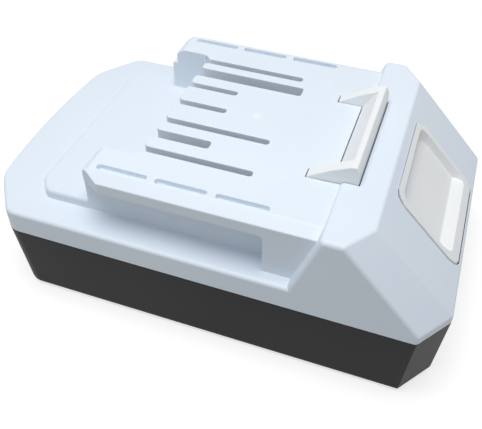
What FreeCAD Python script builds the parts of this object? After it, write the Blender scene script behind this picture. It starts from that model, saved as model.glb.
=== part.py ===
"""Slide-on battery pack for a cordless tool, as a parametric document.

Frame: +X towards the release button, -X the end that enters the tool, +Z up.
The origin lies under the middle of the pack, on the plane that it rests on.
Lengths are millimetres and angles are degrees.
"""
import FreeCAD, Part
import math
import os
import Sketcher

from FreeCAD import Placement, Rotation, Vector

# Driving sizes
SIZES = {
    # case outline
    "case_length": 119.2,
    "seam_width": 76.6,
    "hump_width": 74.4,
    "base_width": 72.6,
    "seam_level": 22.1,
    "deck_level": 28.35,
    "pad_rise": 2.65,
    "platform_level": 43.9,
    "hump_rise": 1.0,
    "base_setback": 0.7,
    "end_bow_radius": 220.0,
    "wall": 2.0,
    "floor_thickness": 1.8,
    "base_edge_radius": 2.0,
    "rim_radius": 1.0,
    "hump_edge_radius": 1.2,
    # corner facets
    "facet_direction": 36.0,
    "facet_setback": 6.4,
    "facet_lean": 38.7,
    "facet_draft": 4.7,
    "rear_facet_setback": 10.5,
    "rear_edge_radius": 12.0,
    "side_edge_radius": 4.5,
    # hump and front slope
    "slope_angle": 45.0,
    "slope_foot_level": 24.4,
    "hump_flat": 10.1,
    "flank_angle": 70.4,
    # rails
    "rail_width": 69.6,
    "pedestal_width": 60.2,
    "rail_length": 45.3,
    "groove_gap": 7.0,
    "groove_roof_level": 39.3,
    "groove_end_radius": 1.5,
    "rail_bevel_width": 3.0,
    "rail_bevel_drop": 1.6,
    "rail_nose_bevel": 2.0,
    "rail_nose_drop": 1.5,
    "rail_nose_corner": 3.2,
    "rail_nose_corner_length": 5.2,
    "pedestal_nose": 1.4,
    "pedestal_nose_radius": 1.0,
    "bay_width": 47.4,
    "bay_depth": 10.4,
    "bay_corner_radius": 2.8,
    # pad around the rails
    "pad_setback": 14.4,
    "pad_facet_setback": 3.0,
    "pad_corner_radius": 3.0,
    "pad_rim_radius": 1.0,
    # rail slots
    "rail_slot_offset": 30.5,
    "rail_slot_width": 1.6,
    "rail_slot_depth": 1.4,
    "rail_slot_start": 3.7,
    "rail_slot_bridge": 2.1,
    "rail_slot_length": 12.5,
    "rail_slot_end_radius": 0.7,
    # contact slots
    "signal_slot_width": 1.9,
    "signal_pitch": 8.4,
    "outer_signal_offset": 20.8,
    "positive_slot_offset": 15.1,
    "positive_slot_width": 3.8,
    "negative_slot_offset": 14.35,
    "negative_slot_width": 2.9,
    "outer_slot_length": 27.9,
    "positive_slot_length": 29.4,
    "negative_slot_length": 14.8,
    "short_slot_length": 13.6,
    "long_slot_length": 27.8,
    "slot_mouth": 0.7,
    "contact_slot_depth": 10.4,
    "slot_end_radius": 0.8,
    "comb_rib": 1.2,
    "comb_tail": 2.5,
    # release latch
    "hook_width": 34.6,
    "hook_arm": 3.0,
    "hook_length": 12.1,
    "hook_setback": 3.7,
    "hook_rise": 5.6,
    "hook_bar_foot": 5.7,
    "hook_bar_top": 2.2,
    "hook_nose_run": 0.9,
    "hook_nose_drop": 1.6,
    "hook_crest_drop": 0.1,
    "hook_bend_run": 8.5,
    "hook_bend_drop": 0.8,
    "hook_knee_run": 5.3,
    "hook_knee_drop": 2.3,
    "hook_tip_rise": 0.1,
    "hook_side_gap": 0.15,
    "hook_end_gap": 0.25,
    "web_thickness": 2.0,
    "stop_gap": 0.1,
    "guide_rib_gap": 1.0,
    "relief_clearance": 0.9,
    "button_width": 31.4,
    "button_setback": 2.3,
    "button_end_gap": 1.0,
    "button_proud": 0.3,
    "button_gap": 0.25,
    "button_thickness": 4.3,
    "button_lip_thickness": 2.7,
    "button_corner_radius": 2.6,
    "scoop_rim": 1.5,
    "scoop_depth": 2.3,
    "scoop_end_rim": 2.0,
    "scoop_top_rim": 1.2,
    "scoop_corner_radius": 2.2,
    "spring_offset": 9.0,
    "spring_setback": 11.1,
    "spring_diameter": 5.6,
    "spring_wire": 0.7,
    "spring_foot_level": 8.0,
    "spring_seat_level": 25.0,
    "spring_seat_width": 6.6,
    "spring_pin_diameter": 4.2,
    "spring_pin_height": 2.0,
    "spring_boss_diameter": 8.0,
    # seam tongue
    "tongue_thickness": 0.8,
    "tongue_setback": 0.1,
    "tongue_height": 1.0,
    "tongue_gap": 0.1,
    # case screws
    "rear_screw_setback": 5.6,
    "rear_screw_gap": 2.1,
    "front_screw_setback": 7.6,
    "front_screw_offset": 21.0,
    "screw_boss_diameter": 7.2,
    "screw_post_diameter": 6.4,
    "screw_diameter": 2.9,
    "screw_head_diameter": 4.8,
    "screw_head_height": 2.0,
    "screw_sink": 1.0,
    "screw_end_gap": 0.3,
    "screw_clearance": 0.2,
    "thread_clearance": 0.05,
    "screw_recess_width": 0.8,
    "screw_recess_length": 3.1,
    "screw_recess_depth": 1.2,
    # cells
    "row_rear_gap": 7.4,
    "row_front_gap": 12.4,
    "cell_side_gap": 1.8,
    "cell_gap": 0.6,
    "cell_top_gap": 1.1,
    "cell_edge_radius": 0.8,
    "cell_button_diameter": 6.0,
    "cell_button_height": 0.6,
    "cell_groove_depth": 0.5,
    "cell_groove_offset": 3.0,
    "foam_thickness": 0.8,
    "foam_width": 14.0,
    # cell holders
    "holder_depth": 10.0,
    "holder_margin": 1.0,
    "holder_clearance": 0.1,
    "holder_plate": 1.2,
    "holder_chamfer": 3.8,
    "holder_cover": 0.6,
    "holder_post_height": 1.2,
    "holder_post_length": 8.0,
    "holder_post_inset": 1.0,
    # nickel strips
    "strip_thickness": 0.2,
    "strip_width": 8.0,
    "strip_corner_radius": 1.0,
    "strip_clearance": 0.3,
    "tab_width": 4.0,
    # circuit board
    "board_rear_gap": 12.0,
    "board_front_gap": 39.0,
    "board_side_gap": 0.2,
    "board_thickness": 1.6,
    "board_corner_radius": 2.0,
    "sheet_thickness": 0.3,
    "sheet_margin": 1.0,
    "seat_gap": 0.1,
    "chip_size": 7.0,
    "chip_height": 1.0,
    "chip_gap": 6.0,
    "transistor_length": 10.0,
    "transistor_width": 6.6,
    "transistor_height": 2.3,
    "resistor_length": 6.4,
    "resistor_width": 3.2,
    "resistor_height": 0.8,
    "resistor_gap": 4.0,
    "transistor_gap": 5.0,
    "transistor_setback": 2.0,
    "capacitor_pitch": 2.6,
    "capacitor_gap": 5.0,
    "capacitor_length": 2.0,
    "capacitor_width": 1.2,
    "capacitor_height": 0.9,
    "sensor_diameter": 2.4,
    "sensor_length": 5.0,
    "sensor_clearance": 0.4,
    "sensor_lead_diameter": 0.5,
    "sensor_lead_offset": 0.7,
    # terminal block and clips
    "block_inset": 2.4,
    "block_length": 24.0,
    "block_width": 46.0,
    "block_wall": 1.5,
    "block_gap": 0.3,
    "clip_start": 4.0,
    "clip_length": 8.0,
    "clip_rise": 4.8,
    "power_leaf": 0.8,
    "power_gap": 1.0,
    "signal_leaf": 0.35,
    "signal_gap": 0.8,
    "clip_base": 0.8,
    "clip_tail_width": 3.0,
    "clip_clearance": 0.15,
}

CELL_COUNT = 5
RAIL_SLOT_COUNT = 3
CAPACITOR_COUNT = 5
SIDES = (("left", -1), ("right", 1))
REACH = 10.0
OVERLAP = 1.0
FINE = 1e-6

document = FreeCAD.newDocument("BatteryPack")
sheet = document.addObject("Spreadsheet::Sheet", "Sizes")


class Size:
    """A value together with the expression that gives it in the document."""

    def __init__(self, value, text):
        self.value = float(value)
        self.text = text

    def __add__(self, other):
        other = as_size(other)
        return Size(self.value + other.value, f"({self.text} + {other.text})")

    def __radd__(self, other):
        return as_size(other) + self

    def __sub__(self, other):
        other = as_size(other)
        return Size(self.value - other.value, f"({self.text} - {other.text})")

    def __rsub__(self, other):
        return as_size(other) - self

    def __mul__(self, other):
        other = as_size(other)
        return Size(self.value * other.value, f"({self.text} * {other.text})")

    def __rmul__(self, other):
        return as_size(other) * self

    def __truediv__(self, other):
        other = as_size(other)
        return Size(self.value / other.value, f"({self.text} / {other.text})")

    def __neg__(self):
        return Size(-self.value, f"(-1 * {self.text})")


def as_size(value):
    if isinstance(value, Size):
        return value
    return Size(value, repr(float(value)))


def tangent(angle):
    return Size(math.tan(math.radians(angle.value)), f"tan({angle.text})")


def cosine(angle):
    return Size(math.cos(math.radians(angle.value)), f"cos({angle.text})")


def sine(angle):
    return Size(math.sin(math.radians(angle.value)), f"sin({angle.text})")


def root(value):
    return Size(math.sqrt(value.value), f"sqrt({value.text})")


def least(first, second):
    return Size(min(first.value, second.value), f"min({first.text}; {second.text})")


def fill_sheet():
    """Write every driving size in the sheet and return them by name."""
    sizes = {}
    for row, (alias, value) in enumerate(SIZES.items(), start=1):
        sheet.set(f"A{row}", alias)
        sheet.set(f"B{row}", str(value))
        sheet.setAlias(f"B{row}", alias)
        sizes[alias] = Size(value, f"Sizes.{alias}")
    document.recompute()
    return sizes


class Outline:
    """A closed outline of points in a sketch plane, some of whose edges are arcs.

    points run anticlockwise; arcs maps an edge's number to its radius, and a negative
    radius bends that edge inwards.
    """

    def __init__(self, points, arcs=None):
        self.points = [(as_size(x), as_size(y)) for x, y in points]
        self.arcs = arcs or {}

    def draw(self, sketch):
        count = len(self.points)
        ends = []
        for index in range(count):
            start = Vector(self.points[index][0].value, self.points[index][1].value, 0)
            after = self.points[(index + 1) % count]
            stop = Vector(after[0].value, after[1].value, 0)
            if index in self.arcs:
                ends.append(self.draw_arc(sketch, start, stop, self.arcs[index]))
            else:
                line = sketch.addGeometry(Part.LineSegment(start, stop), False)
                ends.append((line, 1, 2))
        for index in range(count):
            line, first, last = ends[index]
            following = ends[(index + 1) % count]
            sketch.addConstraint(Sketcher.Constraint("Coincident", line, last, following[0], following[1]))
            for kind, size in zip(("DistanceX", "DistanceY"), self.points[index]):
                number = sketch.addConstraint(Sketcher.Constraint(kind, -1, 1, line, first, size.value))
                bind(sketch, f"Constraints[{number}]", size)
            if index in self.arcs:
                size = self.arcs[index]
                radius = Size(abs(size.value), f"abs({size.text})")
                number = sketch.addConstraint(Sketcher.Constraint("Radius", line, radius.value))
                bind(sketch, f"Constraints[{number}]", radius)

    def draw_arc(self, sketch, start, stop, size):
        radius = abs(size.value)
        chord = stop - start
        rise = math.sqrt(max(radius ** 2 - (chord.Length / 2) ** 2, 0))
        across = Vector(-chord.y, chord.x, 0).normalize()
        turn = 1 if size.value > 0 else -1
        centre = (start + stop) / 2 + across * rise * turn
        ahead, behind = (start, stop) if turn > 0 else (stop, start)
        low = math.atan2(ahead.y - centre.y, ahead.x - centre.x)
        high = math.atan2(behind.y - centre.y, behind.x - centre.x)
        if high < low:
            high += 2 * math.pi
        circle = Part.Circle(centre, Vector(0, 0, 1), radius)
        arc = sketch.addGeometry(Part.ArcOfCircle(circle, low, high), False)
        return (arc, 1, 2) if turn > 0 else (arc, 2, 1)


class Round:
    """A circle in a sketch plane."""

    def __init__(self, x, y, diameter):
        self.x = as_size(x)
        self.y = as_size(y)
        self.radius = as_size(diameter) / 2

    def draw(self, sketch):
        centre = Vector(self.x.value, self.y.value, 0)
        circle = sketch.addGeometry(Part.Circle(centre, Vector(0, 0, 1), self.radius.value), False)
        for kind, size in (("DistanceX", self.x), ("DistanceY", self.y)):
            number = sketch.addConstraint(Sketcher.Constraint(kind, -1, 1, circle, 3, size.value))
            bind(sketch, f"Constraints[{number}]", size)
        number = sketch.addConstraint(Sketcher.Constraint("Radius", circle, self.radius.value))
        bind(sketch, f"Constraints[{number}]", self.radius)


def bind(item, name, size):
    """Tie a property to its expression."""
    item.setExpression(name, size.text)


def box_outline(low_x, high_x, low_y, high_y, radius=None):
    """A rectangle, with rounded corners where a radius is given."""
    low_x, high_x, low_y, high_y = (as_size(value) for value in (low_x, high_x, low_y, high_y))
    if radius is None:
        return Outline([(low_x, low_y), (high_x, low_y), (high_x, high_y), (low_x, high_y)])
    points = [
        (low_x + radius, low_y), (high_x - radius, low_y),
        (high_x, low_y + radius), (high_x, high_y - radius),
        (high_x - radius, high_y), (low_x + radius, high_y),
        (low_x, high_y - radius), (low_x, low_y + radius),
    ]
    return Outline(points, {1: radius, 3: radius, 5: radius, 7: radius})


class Moulding:
    """One body, built up from outlines that are padded or cut between two levels."""

    def __init__(self, label):
        self.body = document.addObject("PartDesign::Body", label + "_body")
        self.body.Label = label
        self.label = label
        self.count = 0

    def sketch(self, plane, level, outlines, turn=None):
        self.count += 1
        sketch = self.body.newObject("Sketcher::SketchObject", f"{self.label}_outline_{self.count}")
        origin = [item for item in self.body.Origin.OriginFeatures if item.Role == plane + "_Plane"]
        sketch.AttachmentSupport = (origin[0], "")
        sketch.MapMode = "FlatFace"
        if turn:
            across, along = level * sine(turn), level * cosine(turn)
            rotation = Rotation(Vector(0, 1, 0), turn.value)
            sketch.AttachmentOffset = Placement(Vector(across.value, 0, along.value), rotation)
            bind(sketch, ".AttachmentOffset.Base.x", across)
            bind(sketch, ".AttachmentOffset.Base.z", along)
            bind(sketch, ".AttachmentOffset.Rotation.Angle", turn)
        else:
            sketch.AttachmentOffset = Placement(Vector(0, 0, level.value), Rotation())
            bind(sketch, ".AttachmentOffset.Base.z", level)
        for outline in outlines:
            outline.draw(sketch)
        return sketch

    def feature(self, kind, name, plane, low, high, outlines, turn=None):
        low, high = as_size(low), as_size(high)
        cutting = kind == "PartDesign::Pocket"
        if plane == "XZ":
            level = -low if cutting else -high
        else:
            level = high if cutting else low
        sketch = self.sketch(plane, level, outlines, turn)
        before = self.volume() if cutting else 0
        feature = self.body.newObject(kind, f"{self.label}_{name}")
        feature.Profile = sketch
        feature.Length = (high - low).value
        bind(feature, "Length", high - low)
        document.recompute()
        if "Invalid" in feature.State or "Error" in feature.State:
            raise RuntimeError(f"{self.label}: {name} fails: {feature.getStatusString()}")
        if cutting and not self.volume() < before - FINE:
            raise RuntimeError(f"{self.label}: {name} removes nothing")
        return feature

    def add(self, name, plane, low, high, *outlines, turn=None):
        return self.feature("PartDesign::Pad", name, plane, low, high, outlines, turn)

    def cut(self, name, plane, low, high, *outlines, turn=None):
        return self.feature("PartDesign::Pocket", name, plane, low, high, outlines, turn)

    def volume(self):
        shape = self.body.Shape
        return 0.0 if shape.isNull() else shape.Volume

    def revolve(self, name, outline):
        """Turn an outline in the XY plane about the Y axis."""
        sketch = self.sketch("XY", as_size(0), [outline])
        feature = self.body.newObject("PartDesign::Revolution", f"{self.label}_{name}")
        feature.Profile = sketch
        axis = [item for item in self.body.Origin.OriginFeatures if item.Role == "Y_Axis"]
        feature.ReferenceAxis = (axis[0], [""])
        feature.Angle = 360.0
        document.recompute()

    def soften(self, kind, name, size, choose):
        """Fillet or chamfer the edges that choose picks."""
        base = self.body.Tip
        edges = [f"Edge{number}" for number, edge in enumerate(base.Shape.Edges, start=1) if choose(edge)]
        if not edges:
            raise RuntimeError(f"{self.label}: {name} finds no edge")
        feature = self.body.newObject(kind, f"{self.label}_{name}")
        feature.Base = (base, edges)
        if kind == "PartDesign::Fillet":
            feature.Radius = size.value
            bind(feature, "Radius", size)
        else:
            feature.Size = size.value
            bind(feature, "Size", size)
        document.recompute()
        if "Invalid" in feature.State or "Error" in feature.State:
            raise RuntimeError(f"{self.label}: {name} fails: {feature.getStatusString()}")
        return feature

    def fillet(self, name, size, choose):
        return self.soften("PartDesign::Fillet", name, size, choose)

    def chamfer(self, name, size, choose):
        return self.soften("PartDesign::Chamfer", name, size, choose)

    def hollow(self, name, core):
        """Cut another body out of this one."""
        feature = self.body.newObject("PartDesign::Boolean", f"{self.label}_{name}")
        feature.Type = "Cut"
        feature.setObjects([core.body])
        document.recompute()
        return feature


def middle(edge):
    return edge.valueAt((edge.FirstParameter + edge.LastParameter) / 2)


def points_up(edge):
    """Whether a straight edge is nearer upright than level."""
    first, last = edge.Vertexes[0].Point, edge.Vertexes[-1].Point
    rise = last - first
    return abs(rise.z) > 2 * math.hypot(rise.x, rise.y)


size = fill_sheet()


class Plan:
    """Levels and places that several pieces share."""

    half_length = size["case_length"] / 2
    half_seam = size["seam_width"] / 2
    half_hump = size["hump_width"] / 2
    half_base = size["base_width"] / 2
    seam = size["seam_level"]
    deck = size["deck_level"]
    pad = deck + size["pad_rise"]
    platform = size["platform_level"]
    hump_top = platform + size["hump_rise"]
    wall = size["wall"]
    slope_top_x = half_length - (hump_top - size["slope_foot_level"]) / tangent(size["slope_angle"])
    flank_top_x = slope_top_x - size["hump_flat"]
    flank_foot_x = flank_top_x - (hump_top - deck) / tangent(size["flank_angle"])
    half_rail = size["rail_width"] / 2
    half_pedestal = size["pedestal_width"] / 2
    groove_end_x = flank_foot_x - size["groove_gap"]
    rail_front_x = groove_end_x - size["rail_length"]
    edge_x = rail_front_x + size["bay_depth"]
    comb_floor = platform - size["contact_slot_depth"]
    comb_end_x = edge_x + size["positive_slot_length"] + size["comb_tail"]
    facet_reach = (cosine(size["facet_direction"]) * (half_length - size["facet_setback"])
                   + sine(size["facet_direction"]) * half_seam)
    rear_reach = (cosine(size["facet_direction"]) * (half_length - size["rear_facet_setback"])
                  + sine(size["facet_direction"]) * half_seam)
    # latch
    hook_back_x = flank_top_x + size["hook_setback"]
    hook_tip_x = hook_back_x - size["hook_length"]
    hook_top = platform + size["hook_rise"]
    half_hook = size["hook_width"] / 2
    half_button = size["button_width"] / 2
    web_top = platform - wall - size["stop_gap"]
    web_bottom = web_top - size["web_thickness"]
    button_x = slope_top_x + size["button_setback"]
    button_end_x = half_length - size["button_end_gap"]
    spring_x = half_length - size["spring_setback"]
    relief_x = button_end_x + size["button_gap"]
    relief_level = seam - size["hook_rise"] + size["relief_clearance"]
    # cells
    cell_bottom = size["floor_thickness"] + size["foam_thickness"]
    row_rear_x = -half_length + wall + size["row_rear_gap"] + size["holder_margin"]
    row_front_x = half_length - wall - size["row_front_gap"] - size["holder_margin"]
    cell_pitch = (row_front_x - row_rear_x + size["cell_gap"]) / CELL_COUNT
    first_cell_x = row_rear_x + (cell_pitch - size["cell_gap"]) / 2
    cell_diameter = least(cell_pitch - size["cell_gap"], seam - cell_bottom - size["cell_top_gap"])
    cell_radius = cell_diameter / 2
    cell_middle = cell_bottom + cell_radius
    cell_top = cell_bottom + cell_diameter
    inner_half = least(half_base, half_seam) - wall
    half_cell = inner_half - size["cell_side_gap"]
    holder_top = cell_top + size["holder_cover"]
    board_bottom = holder_top + size["holder_post_height"]
    board_top = board_bottom + size["board_thickness"]
    board_rear_x = -half_length + size["board_rear_gap"]
    board_front_x = half_length - size["board_front_gap"]
    holder_end_y = half_cell + size["holder_plate"]
    holder_start_y = holder_end_y - size["holder_depth"]
    # screws
    rear_screw_y = holder_start_y - size["rear_screw_gap"] - size["screw_boss_diameter"] / 2
    rear_screw_x = -half_length + size["rear_screw_setback"]
    front_screw_x = half_length - size["front_screw_setback"]
    screw_seat = size["screw_sink"] + size["screw_head_height"]
    screw_end = deck - wall - size["screw_end_gap"]


def cell_x(index):
    return Plan.first_cell_x + Plan.cell_pitch * index


def screw_places():
    places = []
    rear = (Plan.rear_screw_x, Plan.rear_screw_y)
    front = (Plan.front_screw_x, size["front_screw_offset"])
    for x, y in (rear, front):
        places.append((x, -y))
        places.append((x, y))
    return places


def spring_places():
    return [(Plan.spring_x, size["spring_offset"] * sign) for _, sign in SIDES]


def bow_x(half_width, inset):
    """How far back the bowed rear end lies at a half width."""
    radius = size["end_bow_radius"] - inset
    sag = radius - root(radius * radius - half_width * half_width)
    return -Plan.half_length + inset + sag


def bow_waste(inset, half_width):
    """What lies behind the bowed rear end, clockwise round the case's outside."""
    corner = half_width + REACH
    x = bow_x(corner, inset)
    back = -Plan.half_length - REACH
    points = [(x, corner), (back, corner), (back, -corner), (x, -corner)]
    return Outline(points, {3: -(size["end_bow_radius"] - inset)})


def facet_waste(points):
    """The corner beyond a facet, in the upright plane square to it."""
    far = Plan.facet_reach + 3 * REACH
    return Outline([(far, points[-1][1]), *reversed(points), (far, points[0][1])])


def round_rear_edges(form, inset):
    """Round the upright edges at both ends of the rear facets."""
    beside = Plan.inner_half.value

    def on_side(edge):
        spot = middle(edge)
        return points_up(edge) and spot.x < -Plan.half_length.value / 2 and abs(spot.y) > beside - OVERLAP

    def on_rear(edge):
        spot = middle(edge)
        return points_up(edge) and spot.x < -Plan.half_length.value / 2 and abs(spot.y) < beside - REACH / 2

    form.fillet("side_edges", size["side_edge_radius"] - inset, on_side)
    form.fillet("rear_edges", size["rear_edge_radius"] - inset, on_rear)


def cut_rear_facets(form, low_reach, low, high_reach, high):
    """Cut the upright corners beside the bowed end, between two levels."""
    for side, sign in SIDES:
        waste = facet_waste([(low_reach, low), (high_reach, high)])
        turn = 180 - size["facet_direction"] * sign
        form.cut(f"rear_facet_{side}", "XZ", -3 * REACH, 3 * REACH, waste, turn=turn)


def upper_form(label, inset):
    """The upper shell's outer form, or its core when inset by the wall."""
    form = Moulding(label)
    half = Plan.half_seam - inset
    half_top = Plan.half_hump - inset
    top = Plan.hump_top - inset
    deck = Plan.deck - inset
    over = Plan.hump_top + REACH
    corner = inset * tangent(size["slope_angle"] / 2)
    slope_x = Plan.slope_top_x - corner
    end_x = Plan.half_length - inset
    foot = size["slope_foot_level"] - corner
    flank_shift = inset / sine(size["flank_angle"]) - inset / tangent(size["flank_angle"])
    flank_top_x = Plan.flank_top_x + flank_shift
    lean = (half - half_top) / (Plan.hump_top - Plan.seam) * inset
    section = Outline([
        (-half, Plan.seam), (half, Plan.seam), (half_top + lean, top), (-half_top - lean, top),
    ])
    form.add("section", "YZ", -Plan.half_length, end_x, section)
    outside = -Plan.half_length - REACH
    beyond = end_x + REACH
    before = Outline([
        (outside, deck), (Plan.flank_foot_x + flank_shift, deck), (flank_top_x, top), (flank_top_x, over),
        (outside, over),
    ])
    slope = Outline([(slope_x, top), (end_x, foot), (beyond, foot), (beyond, over), (slope_x, over)])
    widest = Plan.half_seam + REACH
    form.cut("deck_and_slope", "XZ", -widest, widest, before, slope)
    form.cut("bowed_end", "XY", Plan.seam - OVERLAP, over, bow_waste(inset, Plan.half_seam))
    cut_rear_facets(form, Plan.rear_reach - inset, Plan.seam, Plan.rear_reach - inset, over)
    round_rear_edges(form, inset)
    lean = size["facet_lean"]
    skirt = Plan.facet_reach - inset
    skirt_top = size["slope_foot_level"] - inset * tangent(lean / 2)
    high = (skirt - (over - skirt_top) * tangent(lean), over)
    for side, sign in SIDES:
        waste = facet_waste([(skirt, Plan.seam), (skirt, skirt_top), high])
        form.cut(f"facet_{side}", "XZ", -3 * REACH, 3 * REACH, waste, turn=size["facet_direction"] * sign)
    return form


def make_upper_shell():
    shell = upper_form("upper_shell", as_size(0))
    core = upper_form("upper_core", Plan.wall)
    shape_core(core)
    round_hump(shell)
    add_pad(shell)
    add_rails(shell)
    shell.hollow("cavity", core)
    cut_slots(shell)
    cut_latch_openings(shell)
    cut_rebate(shell)
    drill_posts(shell)
    return shell


def round_hump(shell):
    """Round the rim of the deck and the edges of the hump."""
    deck = Plan.deck.value
    beside = least(Plan.half_seam, Plan.half_hump).value

    def on_rim(edge):
        spot = middle(edge)
        outside = abs(spot.y) > beside or spot.x < -Plan.half_length.value / 2
        return abs(spot.z - deck) < FINE and outside and spot.x < Plan.flank_foot_x.value

    def on_hump(edge):
        spot = middle(edge)
        on_deck = abs(spot.z - deck) < FINE or spot.x < Plan.flank_foot_x.value + FINE
        return spot.z > Plan.seam.value + FINE and not on_deck

    shell.fillet("hump_edges", size["hump_edge_radius"], on_hump)
    shell.fillet("deck_rim", size["rim_radius"], on_rim)


def add_pad(shell):
    """The low pad that the rails stand on."""
    half = Plan.half_pedestal
    back = -Plan.half_length + size["pad_setback"]
    front = Plan.rail_front_x + REACH
    clip = size["pad_facet_setback"]
    run = clip * cosine(size["facet_direction"]) / sine(size["facet_direction"])
    shell.add("pad", "XY", Plan.deck - OVERLAP, Plan.pad, Outline([
        (back + clip, -half), (front, -half), (front, half), (back + clip, half),
        (back, half - run), (back, -half + run),
    ]))
    hidden = Plan.rail_front_x.value

    def on_corner(edge):
        spot = middle(edge)
        return points_up(edge) and Plan.deck.value < spot.z < Plan.pad.value and spot.x < hidden

    def on_rim(edge):
        spot = middle(edge)
        return abs(spot.z - Plan.pad.value) < FINE and spot.x < hidden + REACH - OVERLAP

    shell.fillet("pad_corners", size["pad_corner_radius"], on_corner)
    shell.fillet("pad_rim", size["pad_rim_radius"], on_rim)


def add_rails(shell):
    """The raised platform with a T-shaped rail at each side and a bay between them."""
    half = Plan.half_rail
    bevel = size["rail_bevel_width"]
    drop = size["rail_bevel_drop"]
    top = Plan.platform
    low = Plan.deck - OVERLAP
    section = Outline([
        (-half, low), (half, low), (half, top - drop), (half - bevel, top),
        (bevel - half, top), (-half, top - drop),
    ])
    nose = Plan.rail_front_x - size["pedestal_nose"]
    hidden = Plan.flank_top_x + OVERLAP
    shell.add("platform", "YZ", nose, hidden, section)
    cut_noses(shell, nose)
    cut_grooves(shell, nose)
    bay_half = size["bay_width"] / 2
    radius = size["bay_corner_radius"]
    front = nose - OVERLAP
    bay = Outline([
        (front, -bay_half), (Plan.edge_x - radius, -bay_half), (Plan.edge_x, radius - bay_half),
        (Plan.edge_x, bay_half - radius), (Plan.edge_x - radius, bay_half), (front, bay_half),
    ], {1: radius, 3: radius})
    shell.cut("bay", "XY", Plan.pad, top + OVERLAP, bay)


def cut_noses(shell, nose):
    """Shape the rails' front ends: set back, bevelled, and with clipped corners."""
    half = Plan.half_rail
    front = Plan.rail_front_x
    top = Plan.platform
    roof = size["groove_roof_level"]
    outside = nose - OVERLAP
    over = top + OVERLAP
    beside = half + OVERLAP
    bevel = Outline([
        (outside, roof), (front, roof), (front, top - size["rail_nose_drop"]),
        (front + size["rail_nose_bevel"], top), (front + size["rail_nose_bevel"], over), (outside, over),
    ])
    shell.cut("rail_noses", "XZ", -beside, beside, bevel)
    depth = size["rail_nose_corner"]
    length = size["rail_nose_corner_length"]
    clips = []
    for sign in (1, -1):
        points = [(front, (half - depth) * sign), (front + length, half * sign),
                  (front + length, beside * sign), (outside, beside * sign),
                  (outside, (half - depth) * sign)]
        clips.append(Outline(points if sign > 0 else points[::-1]))
    shell.cut("rail_corners", "XY", roof, over, *clips)


def cut_grooves(shell, nose):
    """The grooves that the tool's rails run in."""
    radius = size["groove_end_radius"]
    roof = size["groove_roof_level"]
    end = Plan.groove_end_x
    outside = nose - OVERLAP
    groove = Outline([
        (outside, Plan.deck), (end, Plan.deck), (end, roof - radius), (end - radius, roof), (outside, roof),
    ], {2: radius})
    half = Plan.half_rail + OVERLAP
    shell.cut("groove_left", "XZ", -half, -Plan.half_pedestal, groove)
    shell.cut("groove_right", "XZ", Plan.half_pedestal, half, groove)
    corner = size["pedestal_nose_radius"]
    low = Plan.half_pedestal - corner
    rounds = []
    for sign in (1, -1):
        points = [(outside, low * sign), (nose, low * sign), (nose + corner, Plan.half_pedestal * sign),
                  (nose + corner, half * sign), (outside, half * sign)]
        arc = {1: -corner} if sign > 0 else {2: -corner}
        rounds.append(Outline(points if sign > 0 else points[::-1], arc))
    shell.cut("pedestal_noses", "XY", Plan.pad, roof, *rounds)


def contact_slots():
    """Each contact slot as its offset, width and length."""
    signal = size["signal_slot_width"]
    pitch = size["signal_pitch"]
    outer = size["outer_signal_offset"]
    positive = size["positive_slot_offset"]
    negative = size["negative_slot_offset"]
    return {
        "signal_1": (outer, signal, size["outer_slot_length"]),
        "positive": (positive, size["positive_slot_width"], size["positive_slot_length"]),
        "signal_2": (pitch, signal, size["short_slot_length"]),
        "signal_3": (as_size(0), signal, size["short_slot_length"]),
        "signal_4": (-pitch, signal, size["long_slot_length"]),
        "negative": (-negative, size["negative_slot_width"], size["negative_slot_length"]),
        "signal_5": (-outer, signal, size["long_slot_length"]),
    }


def cut_slots(shell):
    """Cut the contact slots and the shallow slots in the rails."""
    radius = size["slot_end_radius"]
    mouth = size["slot_mouth"]
    slots = []
    for offset, width, length in contact_slots().values():
        low, high = offset - width / 2, offset + width / 2
        back = Plan.edge_x - OVERLAP
        flare = Plan.edge_x + mouth
        end = Plan.edge_x + length
        slots.append(Outline([
            (back, low - mouth - OVERLAP), (flare, low), (end - radius, low), (end, low + radius),
            (end, high - radius), (end - radius, high), (flare, high), (back, high + mouth + OVERLAP),
        ], {2: radius, 4: radius}))
    shell.cut("contact_slots", "XY", Plan.comb_floor, Plan.platform + OVERLAP, *slots)
    grooves = []
    half = size["rail_slot_width"] / 2
    end_radius = size["rail_slot_end_radius"]
    for sign in (1, -1):
        middle_y = size["rail_slot_offset"] * sign
        start = Plan.rail_front_x + size["rail_slot_start"]
        for _ in range(RAIL_SLOT_COUNT):
            end = start + size["rail_slot_length"]
            grooves.append(box_outline(start, end, middle_y - half, middle_y + half, end_radius))
            start = end + size["rail_slot_bridge"]
    shell.cut("rail_slots", "XY", Plan.platform - size["rail_slot_depth"], Plan.platform + OVERLAP, *grooves)


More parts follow.
